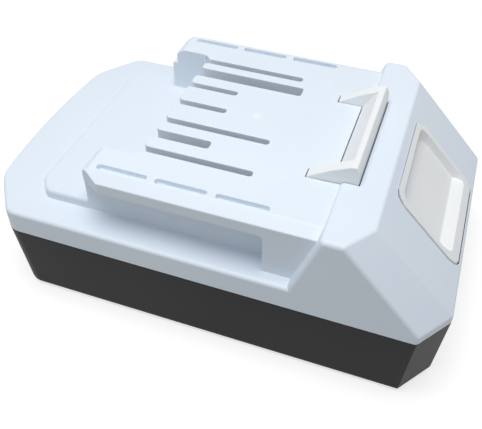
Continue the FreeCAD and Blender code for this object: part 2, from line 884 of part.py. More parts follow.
def shape_core(core):
    """Add the spaces under the platform and leave material for posts and ribs."""
    wall = Plan.wall
    half = Plan.half_pedestal - wall
    low = Plan.deck - wall - OVERLAP
    inside = Plan.edge_x + wall
    hidden = Plan.flank_top_x + wall
    core.add("under_comb", "XY", low, Plan.comb_floor, box_outline(inside, hidden, -half, half))
    behind = box_outline(Plan.comb_end_x, hidden, -half, half)
    core.add("behind_comb", "XY", low, Plan.platform - wall, behind)
    start = -Plan.half_length + size["pad_setback"] + wall + size["pad_facet_setback"]
    core.add("under_pad", "XY", low, Plan.pad - wall, box_outline(start, inside + OVERLAP, -half, half))
    rail_low = size["bay_width"] / 2 + wall
    nose = Plan.rail_front_x + wall
    end = Plan.comb_end_x + OVERLAP
    lanes = [box_outline(nose, end, rail_low, half), box_outline(nose, end, -half, -rail_low)]
    core.add("under_rails", "XY", low, Plan.platform - wall, *lanes)
    rib = size["comb_rib"]
    slot = size["signal_slot_width"] / 2
    pockets = []
    for sign in (1, -1):
        inner, outer = slot + rib, size["signal_pitch"] - slot - rib
        ends = sorted((inner * sign, outer * sign), key=lambda item: item.value)
        pockets.append(box_outline(inside, end, ends[0], ends[1]))
    core.add("comb_pockets", "XY", Plan.comb_floor - OVERLAP, Plan.platform - wall, *pockets)
    over = Plan.hump_top + OVERLAP
    posts = [Round(x, y, size["screw_post_diameter"]) for x, y in screw_places()]
    core.cut("post_room", "XY", Plan.seam, over, *posts)
    gap = size["hook_side_gap"]
    inner = Plan.half_button + gap
    ribs = []
    for sign in (1, -1):
        ends = sorted((inner * sign, (inner + wall) * sign), key=lambda item: item.value)
        start = Plan.hook_back_x + size["guide_rib_gap"]
        ribs.append(box_outline(start, start + 2 * wall, ends[0], ends[1]))
    core.cut("guide_rib_room", "XY", Plan.deck, over, *ribs)


def cut_latch_openings(shell):
    """Openings for the hook in the roof and for the button in the slope."""
    side = size["hook_side_gap"]
    end = size["hook_end_gap"]
    outer = Plan.half_hook + side
    inner = Plan.half_hook - size["hook_arm"] - side
    tip = Plan.hook_tip_x - end
    back = Plan.hook_back_x + end
    bar = Plan.hook_back_x - size["hook_bar_foot"] - end
    opening = Outline([
        (tip, -outer), (back, -outer), (back, outer), (tip, outer),
        (tip, inner), (bar, inner), (bar, -inner), (tip, -inner),
    ])
    shell.cut("hook_opening", "XY", Plan.platform - Plan.wall - OVERLAP, Plan.hook_top, opening)
    gap = size["button_gap"]
    half = Plan.half_button + gap
    radius = size["button_corner_radius"] + gap
    opening = box_outline(Plan.button_x - gap, Plan.relief_x, -half, half, radius)
    shell.cut("button_opening", "XY", Plan.seam, Plan.hump_top, opening)


def rear_facet_end(inset):
    """Where the facet at the far side meets the bowed end."""
    along = cosine(size["facet_direction"])
    across = sine(size["facet_direction"])
    centre = Plan.half_length - size["end_bow_radius"]
    radius = size["end_bow_radius"] - inset
    reach = Plan.rear_reach - inset - along * centre
    half_chord = root(radius * radius - reach * reach)
    return -(centre + reach * along + half_chord * across), reach * across - half_chord * along


def case_outline(inset):
    half = Plan.half_seam - inset
    direction = size["facet_direction"]
    reach = Plan.facet_reach - inset
    front = Plan.half_length - inset
    side_x = (reach - sine(direction) * half) / cosine(direction)
    front_y = (reach - cosine(direction) * front) / sine(direction)
    rear = Plan.rear_reach - inset
    rear_x = -(rear - sine(direction) * half) / cosine(direction)
    back_x, back_y = rear_facet_end(inset)
    points = [
        (rear_x, -half), (side_x, -half), (front, -front_y), (front, front_y), (side_x, half),
        (rear_x, half), (back_x, back_y), (back_x, -back_y),
    ]
    return Outline(points, {6: size["end_bow_radius"] - inset})


def tongue_insets():
    inner = Plan.wall - size["tongue_setback"]
    outer = inner - size["tongue_thickness"]
    return outer, inner


def cut_rebate(shell):
    """The step inside the upper shell's edge that takes the lower shell's tongue."""
    gap = size["tongue_gap"]
    outer, _ = tongue_insets()
    shell.cut("rebate", "XY", Plan.seam, Plan.seam + size["tongue_height"] + gap,
              case_outline(outer - gap), case_outline(Plan.wall + OVERLAP))


def drill_posts(shell):
    bores = [Round(x, y, size["screw_diameter"] + 2 * size["thread_clearance"]) for x, y in screw_places()]
    shell.cut("post_bores", "XY", Plan.seam, Plan.screw_end + size["stop_gap"], *bores)


def lower_form(label, inset, floor):
    """The lower shell's outer form, or its core when inset by the wall."""
    form = Moulding(label)
    half_top = Plan.half_seam - inset
    half_foot = Plan.half_base - inset
    seam = Plan.seam
    section = Outline([(-half_foot, floor), (half_foot, floor), (half_top, seam), (-half_top, seam)])
    form.add("section", "YZ", -Plan.half_length, Plan.half_length - inset, section)
    end = Plan.half_length - inset
    setback = size["base_setback"]
    waste = Outline([(end - setback, floor), (end + REACH, floor), (end + REACH, seam), (end, seam)])
    form.cut("end_draft", "XZ", -Plan.half_seam, Plan.half_seam, waste)
    form.cut("bowed_end", "XY", floor - OVERLAP, Plan.seam + OVERLAP, bow_waste(inset, Plan.half_seam))
    lean = (Plan.seam - floor) * tangent(size["facet_draft"])
    rear = Plan.rear_reach - inset
    cut_rear_facets(form, rear - lean, floor, rear, Plan.seam)
    round_rear_edges(form, inset)
    reach = Plan.facet_reach - inset
    for side, sign in SIDES:
        waste = facet_waste([(reach - lean, floor), (reach, Plan.seam)])
        form.cut(f"facet_{side}", "XZ", -3 * REACH, 3 * REACH, waste, turn=size["facet_direction"] * sign)
    return form


def make_lower_shell():
    """The tub that holds the cells, with screw bosses and posts for the springs."""
    shell = lower_form("lower_shell", as_size(0), as_size(0))
    shell.fillet("base_edge", size["base_edge_radius"],
                 lambda edge: abs(middle(edge).z) < FINE)
    core = lower_form("lower_core", Plan.wall, size["floor_thickness"])
    top = Plan.seam + OVERLAP
    bosses = [Round(x, y, size["screw_boss_diameter"]) for x, y in screw_places()]
    core.cut("boss_room", "XY", size["floor_thickness"], top, *bosses)
    posts = [Round(x, y, size["spring_boss_diameter"]) for x, y in spring_places()]
    core.cut("spring_boss_room", "XY", size["floor_thickness"], size["spring_foot_level"], *posts)
    shell.hollow("cavity", core)
    outer, inner = tongue_insets()
    shell.add("tongue", "XY", Plan.seam - OVERLAP, Plan.seam + size["tongue_height"],
              case_outline(outer), case_outline(inner))
    relief = box_outline(Plan.relief_x - 3 * Plan.wall, Plan.relief_x,
                         -Plan.half_button - size["button_gap"], Plan.half_button + size["button_gap"])
    shell.cut("button_relief", "XY", Plan.relief_level, top + size["tongue_height"], relief)
    clear = 2 * size["screw_clearance"]
    heads = [Round(x, y, size["screw_head_diameter"] + clear) for x, y in screw_places()]
    shell.cut("head_bores", "XY", as_size(0), Plan.screw_seat, *heads)
    bores = [Round(x, y, size["screw_diameter"] + clear) for x, y in screw_places()]
    shell.cut("screw_bores", "XY", Plan.screw_seat, top, *bores)
    foot = size["spring_foot_level"]
    pins = [Round(x, y, size["spring_pin_diameter"]) for x, y in spring_places()]
    shell.add("spring_pins", "XY", foot - OVERLAP, foot + size["spring_pin_height"], *pins)
    return shell


def make_latch():
    """Hook, web and thumb button in one moulding that slides straight down."""
    latch = Moulding("release_latch")
    platform = Plan.platform
    back = Plan.hook_back_x
    tip = Plan.hook_tip_x
    top = Plan.hook_top
    low = Plan.web_bottom
    crest = back - size["hook_bar_top"]
    hook = Outline([
        (tip, low), (back, low), (back, top - size["hook_nose_drop"]), (back - size["hook_nose_run"], top),
        (crest, top - size["hook_crest_drop"]), (tip + size["hook_bend_run"], top - size["hook_bend_drop"]),
        (tip + size["hook_knee_run"], top - size["hook_knee_drop"]), (tip, platform + size["hook_tip_rise"]),
    ])
    latch.add("hook", "XZ", -Plan.half_hook, Plan.half_hook, hook)
    foot = back - size["hook_bar_foot"]
    between = Outline([
        (tip - OVERLAP, Plan.web_top), (foot, Plan.web_top), (foot, platform),
        (crest, top - size["hook_crest_drop"]), (crest, top + OVERLAP), (tip - OVERLAP, top + OVERLAP),
    ])
    inner = Plan.half_hook - size["hook_arm"]
    latch.cut("hook_gap", "XZ", -inner, inner, between)
    add_button(latch, low)
    return latch


def add_button(latch, low):
    """The sloping button plate, its web to the hook, the scoop and the spring seats."""
    half = Plan.half_button
    tilt = tangent(size["slope_angle"])
    lift = size["button_proud"] / cosine(size["slope_angle"])
    depth = size["button_thickness"] / cosine(size["slope_angle"])
    face_foot = Plan.slope_top_x * tilt + Plan.hump_top + lift

    def face_level(x, below=0):
        return face_foot - x * tilt - below

    start, end = Plan.button_x, Plan.button_end_x
    lip = face_level(end) - size["button_lip_thickness"]
    under_x = (face_foot - depth - low) / tilt
    lip_x = (face_foot - depth - lip) / tilt
    neck = lift + (Plan.wall + size["button_gap"]) / cosine(size["slope_angle"])
    neck_x = (face_foot - neck - Plan.web_top) / tilt
    inside = Plan.hook_back_x - OVERLAP
    plate = Outline([
        (inside, low), (under_x, low), (lip_x, lip), (end, lip), (end, face_level(end)),
        (start, face_level(start)), (start, face_level(start, neck)), (neck_x, Plan.web_top),
        (inside, Plan.web_top),
    ])
    latch.add("button", "XZ", -half, half, plate)
    corners = corner_wastes(start, end, half, size["button_corner_radius"])
    latch.cut("button_corners", "XY", Plan.seam, Plan.hook_top, *corners)
    rim = size["scoop_rim"]
    scoop_start = start + size["scoop_top_rim"]
    scoop_drop = size["scoop_depth"] / cosine(size["slope_angle"])
    scoop_end = end - size["scoop_end_rim"]
    lip_level = face_level(scoop_end)
    floor_x = (face_foot - scoop_drop - lip_level) / tilt
    scoop = Outline([
        (scoop_start, face_level(scoop_start, scoop_drop)), (floor_x, lip_level), (scoop_end, lip_level),
        (scoop_end, Plan.hook_top), (scoop_start, Plan.hook_top),
    ])
    hollow = Moulding("scoop_form")
    hollow.add("profile", "XZ", rim - half, half - rim, scoop)
    corners = corner_wastes(scoop_start, scoop_end, half - rim, size["scoop_corner_radius"])
    hollow.cut("corners", "XY", lip, Plan.hook_top + OVERLAP, *corners)
    latch.hollow("scoop", hollow)
    seat = size["spring_seat_width"] / 2
    x = Plan.spring_x
    seat_level = size["spring_seat_level"]
    foot = Outline([
        (x - seat, seat_level), (x + seat, seat_level), (x + seat, face_level(x + seat, depth) + OVERLAP),
        (x - seat, face_level(x - seat, depth) + OVERLAP),
    ])
    offset = size["spring_offset"]
    latch.add("seat_left", "XZ", -offset - seat, seat - offset, foot)
    latch.add("seat_right", "XZ", offset - seat, offset + seat, foot)
    pins = [Round(pin_x, y, size["spring_pin_diameter"]) for pin_x, y in spring_places()]
    latch.add("seat_pins", "XY", seat_level - size["spring_pin_height"], seat_level + OVERLAP, *pins)


def corner_wastes(start, end, half, radius):
    """What rounding takes off the four corners of a plate between start and end."""
    corners = []
    for sign in (1, -1):
        inner, outer = (half - radius) * sign, (half + OVERLAP) * sign
        edge = half * sign
        points = [(start, inner), (start + radius, edge), (start + radius, outer), (start, outer)]
        corners.append(Outline(points if sign > 0 else points[::-1], {0 if sign > 0 else 2: -radius}))
        over = end + OVERLAP
        points = [(over, inner), (over, outer), (end - radius, outer), (end - radius, edge), (end, inner)]
        corners.append(Outline(points if sign > 0 else points[::-1], {3 if sign > 0 else 0: -radius}))
    return corners


def make_springs():
    """The two springs, each a sleeve of the coil's own inner and outer diameter."""
    gap = size["seat_gap"]
    for side, sign in SIDES:
        spring = Moulding(f"latch_spring_{side}")
        outer = size["spring_diameter"] + size["spring_wire"]
        inner = size["spring_diameter"] - size["spring_wire"]
        spot = (Plan.spring_x, size["spring_offset"] * sign)
        spring.add("coil", "XY", size["spring_foot_level"] + gap, size["spring_seat_level"] - gap,
                   Round(*spot, outer), Round(*spot, inner))


def make_cells():
    """Five cells, laid across the case, that point left and right in turn."""
    radius = Plan.cell_radius
    half = Plan.half_cell
    edge = size["cell_edge_radius"]
    groove = size["cell_groove_depth"]
    neck = half - size["cell_button_height"] - size["cell_groove_offset"]
    shoulder = half - size["cell_button_height"]
    button = size["cell_button_diameter"] / 2
    for index in range(CELL_COUNT):
        cell = Moulding(f"cell_{index + 1}")
        cell.revolve("can", Outline([
            (0, -half), (radius - edge, -half), (radius, edge - half), (radius, neck - groove),
            (radius - groove, neck), (radius, neck + groove), (radius, shoulder - edge),
            (radius - edge, shoulder), (button, shoulder), (button, half), (0, half),
        ], {1: edge, 6: edge}))
        turn = 180.0 * (index % 2)
        place = Vector(cell_x(index).value, 0, Plan.cell_middle.value)
        cell.body.Placement = Placement(place, Rotation(Vector(0, 0, 1), turn))
        bind(cell.body, ".Placement.Base.x", cell_x(index))
        bind(cell.body, ".Placement.Base.z", Plan.cell_middle)


def strip_spans(side):
    """The runs of cells that the strips at one side join, in series from left to right and back."""
    last = CELL_COUNT - 1
    spans = [(f"link_strip_{index + 1}", index, index + 1) for index in range(last)]
    if side == "left":
        spans = [("negative_strip", 0, 0)] + spans[1::2]
    else:
        spans = spans[0::2]
    if (last % 2 == 0) == (side == "right"):
        spans.append(("positive_strip", last, last))
    return spans


def strip_ends(first, last):
    reach = size["strip_width"] / 2
    return cell_x(first) - reach, cell_x(last) + reach


def facing(sign, near, far):
    """Two distances from the middle as low and high values at one side."""
    if sign > 0:
        return near, far
    return -far, -near


def make_holders_and_strips():
    """A holder round each row of cell ends, and the strips that join the cells."""
    margin = size["holder_margin"]
    low_x = cell_x(0) - Plan.cell_radius - margin
    high_x = cell_x(CELL_COUNT - 1) + Plan.cell_radius + margin
    clear = size["holder_clearance"]
    bottom = size["floor_thickness"] + clear
    bore = Plan.cell_diameter + 2 * clear
    gap = size["strip_clearance"]
    middle_z = Plan.cell_middle
    over = Plan.holder_top + OVERLAP
    for side, sign in SIDES:
        holder = Moulding(f"cell_holder_{side}")
        low, high = facing(sign, Plan.holder_start_y, Plan.holder_end_y)
        holder.add("block", "XZ", low, high, box_outline(low_x, high_x, bottom, Plan.holder_top))
        holder.chamfer("outer_corners", size["holder_chamfer"],
                       lambda edge: points_up(edge) and abs(middle(edge).y) > Plan.holder_end_y.value - FINE)
        low, high = facing(sign, Plan.holder_start_y - OVERLAP, Plan.half_cell + clear)
        bores = [Round(cell_x(index), Plan.cell_middle, bore) for index in range(CELL_COUNT)]
        holder.cut("cell_bores", "XZ", low, high, *bores)
        low, high = facing(sign, Plan.half_cell - OVERLAP, Plan.holder_end_y + OVERLAP)
        windows = []
        tabs = []
        half = size["strip_width"] / 2 + gap
        for _, first, last in strip_spans(side):
            start, end = strip_ends(first, last)
            windows.append(box_outline(start - gap, end + gap, middle_z - half, middle_z + half))
            tab = (start + end) / 2
            reach = size["tab_width"] / 2 + gap
            tabs.append(box_outline(tab - reach, tab + reach, middle_z + half - OVERLAP, over))
        holder.cut("strip_windows", "XZ", low, high, *windows)
        low, high = facing(sign, Plan.half_cell - clear, Plan.holder_end_y + OVERLAP)
        holder.cut("tab_slots", "XZ", low, high, *tabs)
        add_board_posts(holder, sign)
        make_strips(side, sign)


def add_board_posts(holder, sign):
    """Posts on top of a holder that carry the board."""
    low, high = facing(sign, Plan.holder_start_y, Plan.holder_end_y - 2 * size["holder_plate"])
    length = size["holder_post_length"]
    start = Plan.board_rear_x + size["holder_post_inset"]
    end = Plan.board_front_x - size["holder_post_inset"]
    posts = [box_outline(start, start + length, low, high), box_outline(end - length, end, low, high)]
    foot = Plan.holder_top - size["holder_cover"] / 2
    holder.add("board_posts", "XY", foot, Plan.board_bottom - size["seat_gap"], *posts)


def make_strips(side, sign):
    half = size["strip_width"] / 2
    low_z = Plan.cell_middle - half
    high_z = Plan.cell_middle + half
    low, high = facing(sign, Plan.half_cell + size["seat_gap"] / 2, Plan.half_cell + size["strip_thickness"])
    for name, first, last in strip_spans(side):
        start, end = strip_ends(first, last)
        strip = Moulding(name)
        strip.add("band", "XZ", low, high,
                  box_outline(start, end, low_z, high_z, size["strip_corner_radius"]))
        tab = (start + end) / 2
        reach = size["tab_width"] / 2
        strip.add("tab", "XZ", low, high,
                  box_outline(tab - reach, tab + reach, high_z - OVERLAP, Plan.board_top))


def plain_box(label, low_x, high_x, low_y, high_y, low_z, high_z):
    """A box primitive between two corners."""
    box = document.addObject("Part::Box", label + "_box")
    box.Label = label
    for name, low, high, axis in (("Length", low_x, high_x, "x"), ("Width", low_y, high_y, "y"),
                                  ("Height", low_z, high_z, "z")):
        low, high = as_size(low), as_size(high)
        bind(box, name, high - low)
        bind(box, f".Placement.Base.{axis}", low)
    return box


def fuse(label, parts):
    """One solid from several primitives."""
    joined = document.addObject("Part::MultiFuse", label + "_fuse")
    joined.Label = label
    joined.Shapes = parts
    return joined


def make_board():
    """The board on the holders, its parts, and the sheet between it and the cells."""
    half = Plan.half_cell - size["board_side_gap"]
    board = Moulding("circuit_board")
    board.add("plate", "XY", Plan.board_bottom, Plan.board_top,
              box_outline(Plan.board_rear_x, Plan.board_front_x, -half, half, size["board_corner_radius"]))
    top = Plan.board_top
    gap = size["seat_gap"] / 2
    sheet_low = Plan.cell_top + gap
    inner = Plan.holder_start_y - size["sheet_margin"]
    insulation = Moulding("insulation_sheet")
    hole = Round(sensor_x(), 0, size["sensor_diameter"] + 2 * size["sensor_clearance"])
    insulation.add("sheet", "XY", sheet_low, sheet_low + size["sheet_thickness"],
                   box_outline(Plan.board_rear_x, cell_x(CELL_COUNT - 1), -inner, inner), hole)
    chip_x = Plan.board_rear_x + size["chip_gap"]
    chip = size["chip_size"]
    plain_box("control_chip", chip_x, chip_x + chip, -chip / 2, chip / 2, top, top + size["chip_height"])
    resistor_x = chip_x + chip + size["resistor_gap"]
    plain_box("sense_resistor", resistor_x, resistor_x + size["resistor_width"],
              -size["negative_slot_offset"] - size["resistor_length"] / 2,
              size["resistor_length"] / 2 - size["negative_slot_offset"], top, top + size["resistor_height"])
    capacitors = []
    for index in range(CAPACITOR_COUNT):
        x = chip_x + size["capacitor_pitch"] * index
        y = chip / 2 + size["capacitor_gap"]
        capacitors.append(plain_box(f"capacitor_{index + 1}", x, x + size["capacitor_width"],
                                    y, y + size["capacitor_length"], top, top + size["capacitor_height"]))
    group("board_capacitors", capacitors)
    end = Plan.board_front_x - size["transistor_setback"]
    transistors = []
    for side, sign in SIDES:
        low, high = facing(sign, size["transistor_gap"], size["transistor_gap"] + size["transistor_length"])
        transistors.append(plain_box(f"transistor_{side}", end - size["transistor_width"], end, low, high,
                                     top, top + size["transistor_height"]))
    group("power_transistors", transistors)


def group(label, members):
    """One node of separate solids."""
    compound = document.addObject("Part::Compound", label + "_group")
    compound.Label = label
    compound.Links = members
    return compound


def make_terminals():
    """The block under the comb and the clip that stands in each slot."""
    block_x = Plan.edge_x + size["block_inset"]
    half = size["block_width"] / 2
    wall = size["block_wall"]
    top = Plan.comb_floor - size["block_gap"]
    bottom = Plan.board_top
    block = Moulding("terminal_block")
    block.add("body", "XY", bottom, top,
              box_outline(block_x, block_x + size["block_length"], -half, half, wall))
    block.cut("inside", "XY", bottom, top - wall,
              box_outline(block_x + wall, block_x + size["block_length"] - wall, wall - half, half - wall))
    clip_x = Plan.edge_x + size["clip_start"]
    clear = size["clip_clearance"]
    windows = []
    for name, (offset, width, length) in contact_slots().items():
        power = name in ("positive", "negative")
        leaf = size["power_leaf"] if power else size["signal_leaf"]
        gap = size["power_gap"] if power else size["signal_gap"]
        reach = gap / 2 + leaf
        windows.append(box_outline(clip_x - clear, clip_x + size["clip_length"] + clear,
                                   offset - reach - clear, offset + reach + clear))
        make_clip(f"{name}_terminal", offset, gap, leaf, clip_x, bottom, top)
    block.cut("clip_windows", "XY", top - wall - OVERLAP, top + OVERLAP, *windows)


def make_clip(label, offset, gap, leaf, start, bottom, top):
    """A clip of two upright leaves on a base, with a tail down to the board."""
    end = start + size["clip_length"]
    base_high = top - size["block_wall"] - size["seat_gap"]
    base_low = base_high - size["clip_base"]
    leaf_top = Plan.comb_floor + size["clip_rise"]
    reach = gap / 2 + leaf
    parts = [
        plain_box(label + "_leaf_low", start, end, offset - reach, offset - gap / 2, base_low, leaf_top),
        plain_box(label + "_leaf_high", start, end, offset + gap / 2, offset + reach, base_low, leaf_top),
        plain_box(label + "_base", start, end, offset - reach, offset + reach, base_low, base_high),
    ]
    middle_x = (start + end) / 2
    tail = size["clip_tail_width"] / 2
    parts.append(plain_box(label + "_tail", middle_x - tail, middle_x + tail,
                           offset - leaf / 2, offset + leaf / 2, bottom, base_high))
    fuse(label, parts)


def make_foam():
    """Strips of foam under the cells."""
    half = size["foam_width"] / 2
    low = size["floor_thickness"]
    start = cell_x(0) - Plan.cell_radius / 2
    end = cell_x(CELL_COUNT - 1) + Plan.cell_radius / 2
    plain_box("foam_pad", start, end, -half, half, low, Plan.cell_bottom - size["seat_gap"])


def sensor_x():
    return cell_x(2) + Plan.cell_pitch / 2


def make_sensor():
    """The temperature sensor: a bead in the valley between two cells, with leads up to the board."""
    radius = size["sensor_diameter"] / 2
    reach = Plan.cell_radius + radius + size["seat_gap"]
    half_pitch = Plan.cell_pitch / 2
    level = Plan.cell_middle + root(reach * reach - half_pitch * half_pitch)
    sensor = Moulding("temperature_sensor")
    half = size["sensor_length"] / 2
    sensor.add("bead", "XZ", -half, half, Round(sensor_x(), level, size["sensor_diameter"]))
    spread = size["sensor_lead_offset"]
    leads = [Round(sensor_x(), spread * sign, size["sensor_lead_diameter"]) for _, sign in SIDES]
    sensor.add("leads", "XY", level, Plan.board_bottom - size["seat_gap"], *leads)


def make_screws():
    """The four case screws as one group of separate solids."""
    sink = size["screw_sink"]
    seat = Plan.screw_seat - size["seat_gap"]
    half = size["screw_recess_width"] / 2
    arm = size["screw_recess_length"] / 2
    recess = sink + size["screw_recess_depth"]
    screws = []
    for number, (x, y) in enumerate(screw_places(), start=1):
        screw = Moulding(f"screw_{number}")
        screw.add("head", "XY", sink, seat, Round(x, y, size["screw_head_diameter"]))
        screw.add("shank", "XY", seat - OVERLAP, Plan.screw_end, Round(x, y, size["screw_diameter"]))
        lengthwise = box_outline(x - arm, x + arm, y - half, y + half)
        screw.cut("slot_one", "XY", sink - OVERLAP, recess, lengthwise)
        crosswise = box_outline(x - half, x + half, y - arm, y + arm)
        screw.cut("slot_two", "XY", sink - OVERLAP, recess, crosswise)
        screws.append(screw.body)
    group("case_screws", screws)


NODES = (
    ["lower_shell", "upper_shell", "release_latch", "latch_spring_left", "latch_spring_right"]
    + [f"cell_{index + 1}" for index in range(CELL_COUNT)]
    + ["cell_holder_left", "cell_holder_right"]
    + [name for side, _ in SIDES for name, _, _ in strip_spans(side)]
    + ["circuit_board", "insulation_sheet", "control_chip", "sense_resistor", "board_capacitors",
       "power_transistors", "terminal_block"]
    + [f"{name}_terminal" for name in contact_slots()]
    + ["foam_pad", "temperature_sensor", "case_screws"]
)


def write_nodes():
    """Check every object, then write each node's solid."""
    document.recompute()
    for item in document.Objects:
        if "Invalid" in item.State or "Error" in item.State:
            raise RuntimeError(f"{item.Label} is {item.State}")
    shapes = {}
    for label in NODES:
        item = document.getObjectsByLabel(label)[0]
        shape = item.Shape
        if shape.isNull() or not shape.isValid():
            raise RuntimeError(f"{label} has no valid shape")
        shapes[label] = shape
    os.makedirs("parts", exist_ok=True)
    for label, shape in shapes.items():
        shape.exportStep(f"parts/{label}.step")
        print(label, len(shape.Solids), round(shape.Volume, 1))


make_upper_shell()
make_lower_shell()
make_latch()
make_springs()
make_cells()
make_holders_and_strips()
make_board()
make_terminals()
make_foam()
make_sensor()
make_screws()
write_nodes()
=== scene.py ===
"""Slide-on battery pack for a cordless tool, dressed for rendering.

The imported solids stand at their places. The moulded pieces that show are copies of them
with softened edges, the latch springs are wound as real coils, and every piece gets its
own finish. Lengths in this file are millimetres unless a name says otherwise.
"""

import logging
import math
from dataclasses import dataclass
from enum import Enum
from typing import Callable, ClassVar, Iterable

import bmesh
import bpy
from mathutils import Matrix, Vector
from mathutils.bvhtree import BVHTree
from mathutils.kdtree import KDTree


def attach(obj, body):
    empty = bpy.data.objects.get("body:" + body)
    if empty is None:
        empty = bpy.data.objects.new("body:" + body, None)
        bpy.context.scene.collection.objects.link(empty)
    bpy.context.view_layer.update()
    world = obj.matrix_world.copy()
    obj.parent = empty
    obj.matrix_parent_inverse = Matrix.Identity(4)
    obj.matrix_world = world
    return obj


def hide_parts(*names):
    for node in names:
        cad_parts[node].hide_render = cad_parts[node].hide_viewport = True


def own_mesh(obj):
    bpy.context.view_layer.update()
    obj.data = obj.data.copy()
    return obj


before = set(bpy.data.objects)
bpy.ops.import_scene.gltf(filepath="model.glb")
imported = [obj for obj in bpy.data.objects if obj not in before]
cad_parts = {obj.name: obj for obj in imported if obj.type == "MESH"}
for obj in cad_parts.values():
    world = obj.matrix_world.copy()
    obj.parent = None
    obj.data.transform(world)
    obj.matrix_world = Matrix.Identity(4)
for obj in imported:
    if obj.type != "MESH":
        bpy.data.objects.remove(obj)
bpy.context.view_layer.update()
MM = 0.001
LOG = logging.getLogger("battery_pack")

Colour = tuple[float, float, float, float]
Place = tuple[float, float, float]


class Body(Enum):
    """The two bodies that pieces ride on."""

    CASE = "case"
    LATCH = "latch"


def shade(red: int, green: int, blue: int) -> Colour:
    """Turn a screen colour into the linear colour that a shader takes.

    Args:
        red: Red from 0 to 255.
        green: Green from 0 to 255.
        blue: Blue from 0 to 255.

    Returns:
        The linear colour with an alpha of 1.
    """
    # The two branches are the standard decoding curve of screen colours.
    linear = []
    for part in (red, green, blue):
        value = part / 255
        linear.append(value / 12.92 if value <= 0.04045 else ((value + 0.055) / 1.055) ** 2.4)
    return (*linear, 1.0)


class Wiring:
    """A node tree with short ways to add nodes and join them.

    A colour mix has several sockets of each name, so its colour ones go by number.
    """

    MIX_FACTOR = 0
    MIX_FIRST = 6
    MIX_SECOND = 7
    MIX_RESULT = 2

    def __init__(self, tree: bpy.types.NodeTree) -> None:
        """Keep the tree to work on."""
        self.tree = tree

    def add(self, kind: str, inputs: dict | None = None, **settings: object) -> bpy.types.Node:
        """Add a node.

        Args:
            kind: The node's type name without its ShaderNode prefix.
            inputs: Socket values by name or number; a socket there is joined instead.
            settings: Properties set on the node.

        Returns:
            The new node.
        """
        node = self.tree.nodes.new(kind if kind.startswith("Node") else "ShaderNode" + kind)
        for name, value in settings.items():
            setattr(node, name, value)
        for name, value in (inputs or {}).items():
            if isinstance(value, bpy.types.NodeSocket):
                self.tree.links.new(value, node.inputs[name])
            else:
                node.inputs[name].default_value = value
        return node

    def math(self, operation: str, first: object, second: object = 0.0,
             third: object = 0.0) -> bpy.types.NodeSocket:
        """Add a maths node and return its output."""
        node = self.add("Math", {0: first, 1: second, 2: third}, operation=operation)
        return node.outputs[0]

    def mix(self, factor: object, first: object, second: object) -> bpy.types.NodeSocket:
        """Add a colour mix and return its output."""
        colours = {self.MIX_FACTOR: factor, self.MIX_FIRST: first, self.MIX_SECOND: second}
        return self.add("Mix", colours, data_type="RGBA").outputs[self.MIX_RESULT]

    def step(self, value: object, low: float, high: float) -> bpy.types.NodeSocket:
        """Add a smooth step from 0 at low to 1 at high and return its output."""
        limits = {"Value": value, "From Min": low, "From Max": high}
        return self.add("MapRange", limits, interpolation_type="SMOOTHSTEP").outputs[0]


